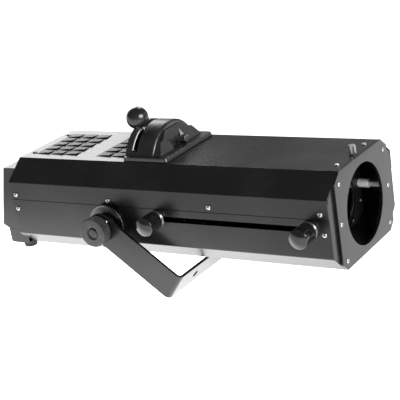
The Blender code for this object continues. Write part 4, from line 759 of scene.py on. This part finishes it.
class FOLLOWSPOT_OT_drum(Build, bpy.types.Operator):
    """Shapes the drum over the lever, its cowl with the niche and pointer, base and lock knob"""

    bl_idname = "followspot.drum"
    bl_label = "Drum and Cowl"

    def execute(self, context):
        for name, shape, node in (("drum_base", self.base(), "dome_base"),
                                  ("drum_skin", self.drum(), "dome_cover"),
                                  ("drum_cowl", self.cowl(), "dome_cowl")):
            piece(name, shape, "housing", "plastic", (node,), IN_PLACE)
        self.pointer()
        self.slot_liner()
        self.lock_knob()
        return {"FINISHED"}

    @staticmethod
    def slot_liner():
        """The pale wear strip along the rear edge of the slot, on the near side."""
        angles = [math.radians(58 - 3 * i) for i in range(17)]
        band = (arc(DRUM_RADIUS - 0.0026, DRUM_CENTRE, angles)
                + arc(DRUM_RADIUS - 0.0008, DRUM_CENTRE, angles[::-1]))
        strip = along_beam(band, LEVER_ROOT.x - 0.0054, LEVER_ROOT.x - 0.0044)
        piece("slot_wear_strip", soften(strip, 0.0002), "housing", "bushing", space=IN_PLACE)

    @staticmethod
    def base():
        """The thick plate that the drum stands on, open where the lever comes through."""
        plate = rounded_box((-0.41, -0.318), (-0.0775, 0.0775), (BASE_UNDERSIDE, BASE_TOP), 0.005)
        for vert in plate.verts:
            if vert.co.z > BASE_UNDERSIDE + 0.001:
                vert.co.x += 0.0022 if vert.co.x < -0.37 else -0.0022
                vert.co.y -= math.copysign(0.0006, vert.co.y)
        opening = rounded_box((LEVER_ROOT.x - 0.012, LEVER_ROOT.x + 0.012), (-0.057, 0.057),
                              (BASE_UNDERSIDE - 0.002, BASE_TOP + 0.002), 0.003)
        return soften(carved(plate, opening), 0.0011, 3)

    @staticmethod
    def drum():
        """A hollow half drum with a rounded front rim, slotted for the lever's stem."""
        stations = [(DRUM_REAR, DRUM_RADIUS - 0.0008), (DRUM_REAR + 0.0003, DRUM_RADIUS - 0.0003),
                    (DRUM_REAR + 0.001, DRUM_RADIUS)]
        stations += [(DRUM_FRONT - DRUM_EDGE * (1 - math.sin(a)),
                      DRUM_RADIUS - DRUM_EDGE * (1 - math.cos(a)))
                     for a in (math.radians(15 * i) for i in range(7))]
        skin = lofted([[(x, y, z) for y, z in arch(r, DRUM_CENTRE, BASE_TOP + 0.0002)]
                       for x, r in stations])
        hollow = along_beam(arch(DRUM_RADIUS - DRUM_EDGE - DRUM_WALL, DRUM_CENTRE, BASE_TOP - 0.002),
                            DRUM_REAR + DRUM_WALL, DRUM_FRONT - DRUM_WALL)
        angles = [math.radians(60) * (1 - i / 16) for i in range(33)]
        sector = (arc(DRUM_RADIUS - 0.012, DRUM_CENTRE, angles)
                  + arc(DRUM_RADIUS + 0.012, DRUM_CENTRE, angles[::-1]))
        slot = along_beam(sector, LEVER_ROOT.x - 0.0055, LEVER_ROOT.x + 0.0055)
        return soften(carved(skin, hollow, slot), 0.0006, 2)

    @staticmethod
    def cowl():
        """The leaning front block: shoulders, a raised ridge and the niche of the lock knob."""
        side = [(-0.067, BASE_TOP + 0.0002), (-0.051, 0.1905), (-0.041, 0.192), (-0.026, 0.2045)]
        outline = side + [(-y, z) for y, z in reversed(side)]
        block = lofted([[(DRUM_FRONT - 0.0012, y, z) for y, z in outline],
                        [(COWL_FRONT - COWL_LEAN * (z - BASE_TOP), y, z) for y, z in outline]])
        niche = along_beam([(-0.024, BASE_TOP - 0.004), (0.014, BASE_TOP - 0.004), (0.014, 0.18),
                            (0.008, 0.198), (-0.026, 0.198), (-0.03, 0.19), (-0.024, 0.18)],
                           NICHE_BACK, COWL_FRONT + 0.01)
        hole = along_beam([(-0.01, 0.1722), (0.003, 0.1722), (0.003, 0.1795), (-0.0085, 0.1795)],
                          NICHE_BACK - 0.005, NICHE_BACK + 0.002)
        return soften(carved(block, niche, hole), 0.0007, 2)

    @staticmethod
    def pointer():
        """The bright three-sided pointer on the cowl's leaning face, over the lock knob."""
        outline = [(0.0122, 0.1971), (0.0081, 0.1826), (0.0209, 0.1797)]
        rings = [[(COWL_FRONT - COWL_LEAN * (z - BASE_TOP) + rise, y, z) for y, z in outline]
                 for rise in (-0.0004, 0.0006)]
        piece("drum_pointer", soften(lofted(rings), 0.0002), "housing", "turned", space=IN_PLACE)

    @staticmethod
    def lock_knob():
        """The small knurled knob on its neck, in the cowl's niche."""
        profile = rounded_profile([
            (0.0, 0.0), (0.0, 0.0045), (0.006, 0.0045), (0.006, 0.0064), (0.0066, 0.007),
            (0.0174, 0.007), (0.018, 0.0064), (0.018, 0.0)], 0.0003)
        bm = knurled(profile, 26, 0.0006, (0.0064, 0.0176))
        piece("drum_lock_knob", bm, "dome_lock", "dull_metal",
              ("dome_lock_knob",), placed((-0.349, 0.013, 0.1785), FRONT))


class FOLLOWSPOT_OT_lever(Build, bpy.types.Operator):
    """Turns the lever's gloss ball and stem, and finishes the colour sector with its filters"""

    bl_idname = "followspot.lever"
    bl_label = "Ball Lever"

    def execute(self, context):
        radius, length, angle, stem = 0.0197, 0.0925, math.radians(25), 0.005
        way = Vector((0, -math.sin(angle), math.cos(angle)))
        neck = math.asin((stem + 0.0004) / radius)
        profile = [(-radius * math.cos(neck) + 0.001, 0.0)]
        profile += [(-radius * math.cos(a), radius * math.sin(a))
                    for a in (neck + (math.pi - neck) * i / 40 for i in range(41))]
        profile[-1] = (radius, 0.0)
        piece("lever_grip", turned(profile, 72), "lever", "ball",
              ("lever_ball",), placed(LEVER_ROOT + way * length, way), weighted=False)
        rod = rounded_profile([(0.0105, 0.0), (0.0105, stem - 0.0005), (0.011, stem),
                               (length - radius * 0.9, stem), (length - radius * 0.9, 0.0)], 0.0003)
        piece("lever_bright_stem", turned(rod, 48), "lever", "chrome",
              ("lever_stem",), placed(LEVER_ROOT, way), weighted=False)
        dress("lever_hub", "lever", "black_metal", 0.0003)
        dress("colour_sector", "lever", "black_metal", 0.0003)
        dress("lever_shaft", "housing", "steel", 0.0003)
        dress("filter_amber", "lever", "amber", 0.0002)
        dress("filter_blue", "lever", "blue", 0.0002)
        return {"FINISHED"}


# Outer face of the frame's yoke arms and end of its clamp knobs, from the housing's middle
ARM_FACE, KNOB_END = 0.1471, 0.1761
# How much further out the arms stand than in the frame, as the picture shows
ARM_OFFSET = 0.005


class FOLLOWSPOT_OT_yoke(Build, bpy.types.Operator):
    """Rounds the yoke's bar, cuts the teeth of its friction discs and knurls its clamp knobs"""

    bl_idname = "followspot.yoke"
    bl_label = "Yoke and Clamps"

    def execute(self, context):
        self.bar()
        for side, way in (("near", NEAR), ("far", FAR)):
            dress("clamp_stud_" + side, "housing", "steel", 0.0003)
            self.friction_disc(side, way)
            self.spacer(side, way)
            self.knob(side, way)
            self.arm_screw(side, way)
        return {"FINISHED"}

    @staticmethod
    def bar():
        """The yoke's strip; its arms stand a little further out, clear of the deep friction discs."""
        bm = solid_of("yoke_bar")
        start, end = 0.096, 0.13
        for vert in bm.verts:
            share = min(max((abs(vert.co.y) - start) / (end - start), 0.0), 1.0)
            vert.co.y += math.copysign(ARM_OFFSET * share, vert.co.y)
        piece("yoke_strip", soften(bm, 0.0006, 3), "yoke", "coat",
              ("yoke_bar",))

    def friction_disc(self, side, way):
        """A deep disc on a boss, with fine teeth round its rim and a radial slot in its face."""
        radius, face, back = 0.0358, 0.0155, 0.0105
        profile = rounded_profile([
            (0.0, 0.005), (0.0, 0.0215), (back - 0.001, 0.0225), (back, radius - 0.0016),
            (back + 0.001, radius), (face - 0.004, radius), (face - 0.003, radius - 0.0014),
            (face - 0.0032, radius - 0.0034), (face, 0.0215), (face, 0.005), (0.0, 0.005)], 0.0004)
        bm = knurled(profile, self.shape.disc_teeth, 0.0008, (back - 0.0002, face - 0.0022))
        slot = prism([(0.0232, -0.0006), (radius + 0.001, -0.0006), (radius + 0.001, 0.0006),
                      (0.0232, 0.0006)], face - 0.005, face + 0.001)
        slot.transform(Matrix.Rotation(-way.y * math.radians(64), 4, "Z"))
        piece("toothed_disc_" + side, carved(bm, slot), "housing", "disc",
              ("friction_disc_" + side,), placed(PIVOT + way * SIDE_SEAT, way, (1, 0, 0)))

    @staticmethod
    def spacer(side, way):
        """The washer between the friction disc and the arm."""
        profile = rounded_profile([
            (0.0, 0.005), (0.0, 0.0196), (0.0006, 0.02), (0.009, 0.02), (0.0098, 0.0194),
            (0.0098, 0.005), (0.0, 0.005)], 0.0003)
        piece("yoke_washer_" + side, turned(profile), "yoke", "black_metal",
              ("yoke_spacer_" + side,),
              placed(PIVOT + way * 0.1366, way))

    def knob(self, side, way):
        """The knurled clamp knob on its collar, with an insert in its recessed face."""
        start = ARM_FACE + ARM_OFFSET
        end, radius, recess = KNOB_END - start, 0.0256, 0.0118
        profile = rounded_profile([
            (0.0, 0.0055), (0.0, 0.014), (0.0008, 0.015), (0.004, 0.015), (0.0046, 0.016),
            (0.0046, radius - 0.0016), (0.006, radius), (end - 0.001, radius),
            (end, radius - 0.0012), (end, recess + 0.0006), (end - 0.0006, recess),
            (end - 0.003, recess - 0.0003), (end - 0.0034, recess - 0.001),
            (end - 0.0034, 0.0)], 0.0004)
        bm = knurled(profile, self.shape.clamp_teeth, 0.0024, (0.005, end - 0.0007), 3.0)
        body, at = side + "_clamp_knob", placed(PIVOT + way * start, way)
        piece("clamp_knob_" + side, bm, body, "grip", ("yoke_knob_" + side,), at)
        insert = turned(rounded_profile([
            (end - 0.0036, 0.0), (end - 0.0036, 0.0092), (end - 0.0024, 0.0088), (end - 0.0012, 0.0066),
            (end - 0.001, 0.0)], 0.0008), 48)
        piece("clamp_insert_" + side, insert, body, "black_metal", space=at)

    @staticmethod
    def arm_screw(side, way):
        """The small plated screw in the arm's face, beside the clamp knob."""
        piece("arm_screw_" + side, screw_head(0.0034, 0.002, 0.0013), "yoke", "chrome",
              space=placed((-0.4104, way.y * (ARM_FACE - 0.0003 + ARM_OFFSET), 0.0807), way),
              weighted=False)


class FOLLOWSPOT_OT_slide_knobs(Build, bpy.types.Operator):
    """Turns the zoom and focus knobs with their bright collars"""

    bl_idname = "followspot.slide_knobs"
    bl_label = "Zoom and Focus Knobs"

    def execute(self, context):
        for name, x in CARRIAGES.items():
            collar = turned(rounded_profile([
                (0.0, 0.0043), (0.0, 0.0146), (0.0006, 0.015), (0.003, 0.015), (0.0034, 0.0146),
                (0.004, 0.0146), (0.0044, 0.015), (0.0068, 0.015), (0.0075, 0.0143),
                (0.0075, 0.0043), (0.0, 0.0043)], 0.0003), 96)
            piece(name + "_bright_collar", collar, name, "turned",
                  (name + "_collar",), placed((x, -SIDE_SEAT, STUD_HEIGHT), NEAR))
            crown = [(0.0365 - 0.004 * (r / 0.0152) ** 2, r) for r in
                     (0.0152 * (1 - i / 12) for i in range(13))]
            knob = turned(rounded_profile([
                (0.0, 0.0043), (0.0, 0.0155), (0.0008, 0.0162), (0.0316, 0.0162), (0.0325, 0.0153)],
                0.0005, 4) + crown, 96)
            piece(name + "_grip", knob, name + "_lock", "slide",
                  (name + "_knob",), placed((x, -0.129, STUD_HEIGHT), NEAR))
            dress(name + "_stud", name, "steel", 0.0002)
        return {"FINISHED"}


class FOLLOWSPOT_OT_optics(Build, bpy.types.Operator):
    """Finishes the lens carriages and their far bushings, the lenses and their black rings"""

    bl_idname = "followspot.optics"
    bl_label = "Lenses and Carriages"

    def execute(self, context):
        for name, x in CARRIAGES.items():
            self.carriage(name, x)
            dress(name + "_lens", name, "lens", 0.0)
            dress(name + "_lens_ring", name, "black_metal", 0.0003)
        for side in ("near", "far"):
            dress("guide_rod_" + side, "housing", "ground", 0.0002)
        return {"FINISHED"}

    @staticmethod
    def carriage(name, x):
        """A lens carriage; its far block is a pale bushing on the rod, as seen through the lens."""
        rod_y, rod_z, plate, front = 0.088, 0.082, x - 0.01, x + 0.0085
        bm = solid_of(name + "_carriage")
        bm.transform(HOUSING.inverted())
        block = along_beam([(0.0705, 0.068), (0.099, 0.068), (0.099, 0.096), (0.0705, 0.096)],
                           plate + 0.0001, front + 0.002)
        piece(name + "_carriage_skin", soften(carved(bm, block), 0.0004), name, "coat",
              (name + "_carriage",), IN_PLACE)
        length = front - plate
        bushing = turned(rounded_profile([
            (0.0, 0.0058), (0.0, 0.0074), (length, 0.0074), (length, 0.0058), (0.0, 0.0058)],
            0.0004), 48)
        piece(name + "_far_bushing", bushing, name, "bushing",
              space=placed((plate, rod_y, rod_z), FRONT))
        head = screw_head(0.0028, 0.0018, 0.0012)
        screws = joined([(head, placed((plate, sign * y, z), FRONT, (0, 1, 0.4)))
                         for sign in (-1, 1) for y, z in ((0.0493, 0.0281), (0.0867, 0.0502))])
        head.free()
        piece(name + "_plate_screws", screws, name, "steel", space=IN_PLACE, weighted=False)


class FOLLOWSPOT_OT_engine(Build, bpy.types.Operator):
    """Finishes the lamp, its heat sink, the fan and the power supply inside the housing"""

    bl_idname = "followspot.engine"
    bl_label = "Light Engine"

    def execute(self, context):
        coat_node("heat_sink", "heatsink")
        coat_node("case", "power_supply", "sink_bracket_near", "sink_bracket_far")
        coat_node("board", "led_board")
        coat_node("phosphor", "led_emitter")
        coat_node("black_metal", "condenser_tube")
        dress("condenser_lens", "housing", "lens", 0.0)
        for node, body, width in (("fan_frame", "housing", 0.0004),
                                  ("fan_spider", "housing", 0.0003), ("fan_rotor", "fan", 0.0002)):
            dress(node, body, "plastic", width)
        return {"FINISHED"}


class FOLLOWSPOT_OT_power_inlet(Build, bpy.types.Operator):
    """Finishes the mains inlet with its three pins, and the rocker switch"""

    bl_idname = "followspot.power_inlet"
    bl_label = "Inlet and Switch"

    def execute(self, context):
        dress("mains_inlet", "housing", "plastic", 0.0004)
        dress("switch_frame", "housing", "plastic", 0.0003)
        dress("switch_rocker", "rocker", "knob", 0.0004)
        return {"FINISHED"}


class FOLLOWSPOT_OT_thumbscrew(Build, bpy.types.Operator):
    """Turns the knurled thumbscrew on the front of the top"""

    bl_idname = "followspot.thumbscrew"
    bl_label = "Thumbscrew"

    def execute(self, context):
        profile = rounded_profile([
            (-0.0016, 0.0), (-0.0016, 0.0022), (0.0003, 0.0022), (0.0003, 0.005), (0.0014, 0.005),
            (0.0014, 0.0056), (0.002, 0.006), (0.0158, 0.006), (0.0165, 0.0054),
            (0.0165, 0.0)], 0.0003)
        bm = knurled(profile, 28, 0.0005, (0.0018, 0.0162))
        piece("knurled_thumbscrew", bm, "thumbscrew", "dull_metal",
              ("top_thumbscrew",), placed((-0.0085, 0, HOUSING_TOP), UP))
        return {"FINISHED"}


class FOLLOWSPOT_PT_panel(bpy.types.Panel):
    """Lists the followspot's settings and the steps that build it"""

    bl_label = "Followspot"
    bl_idname = "FOLLOWSPOT_PT_panel"
    bl_space_type = "VIEW_3D"
    bl_region_type = "UI"
    bl_category = "Followspot"

    def draw(self, context):
        for group in GROUPS:
            box = self.layout.box()
            settings = getattr(context.scene, group)
            for setting in settings.__annotations__:
                box.prop(settings, setting)
        for operator in OPERATORS:
            self.layout.operator(operator.bl_idname)


OPERATORS = (
    FOLLOWSPOT_OT_studio, FOLLOWSPOT_OT_housing, FOLLOWSPOT_OT_screws, FOLLOWSPOT_OT_drum,
    FOLLOWSPOT_OT_lever, FOLLOWSPOT_OT_yoke, FOLLOWSPOT_OT_slide_knobs, FOLLOWSPOT_OT_optics,
    FOLLOWSPOT_OT_engine, FOLLOWSPOT_OT_power_inlet, FOLLOWSPOT_OT_thumbscrew)
GROUPS = {
    "followspot_shape": FollowspotShape,
    "followspot_finish": FollowspotFinish,
    "followspot_studio": FollowspotStudio,
}
CLASSES = (*GROUPS.values(), *OPERATORS, FOLLOWSPOT_PT_panel)


def register():
    for cls in CLASSES:
        bpy.utils.register_class(cls)
    for name, cls in GROUPS.items():
        setattr(bpy.types.Scene, name, bpy.props.PointerProperty(type=cls))


def unregister():
    for name in GROUPS:
        delattr(bpy.types.Scene, name)
    for cls in reversed(CLASSES):
        bpy.utils.unregister_class(cls)


def main():
    register()
    for operator in OPERATORS:
        group, step = operator.bl_idname.split(".")
        getattr(getattr(bpy.ops, group), step)()


if __name__ == "__main__":
    main()
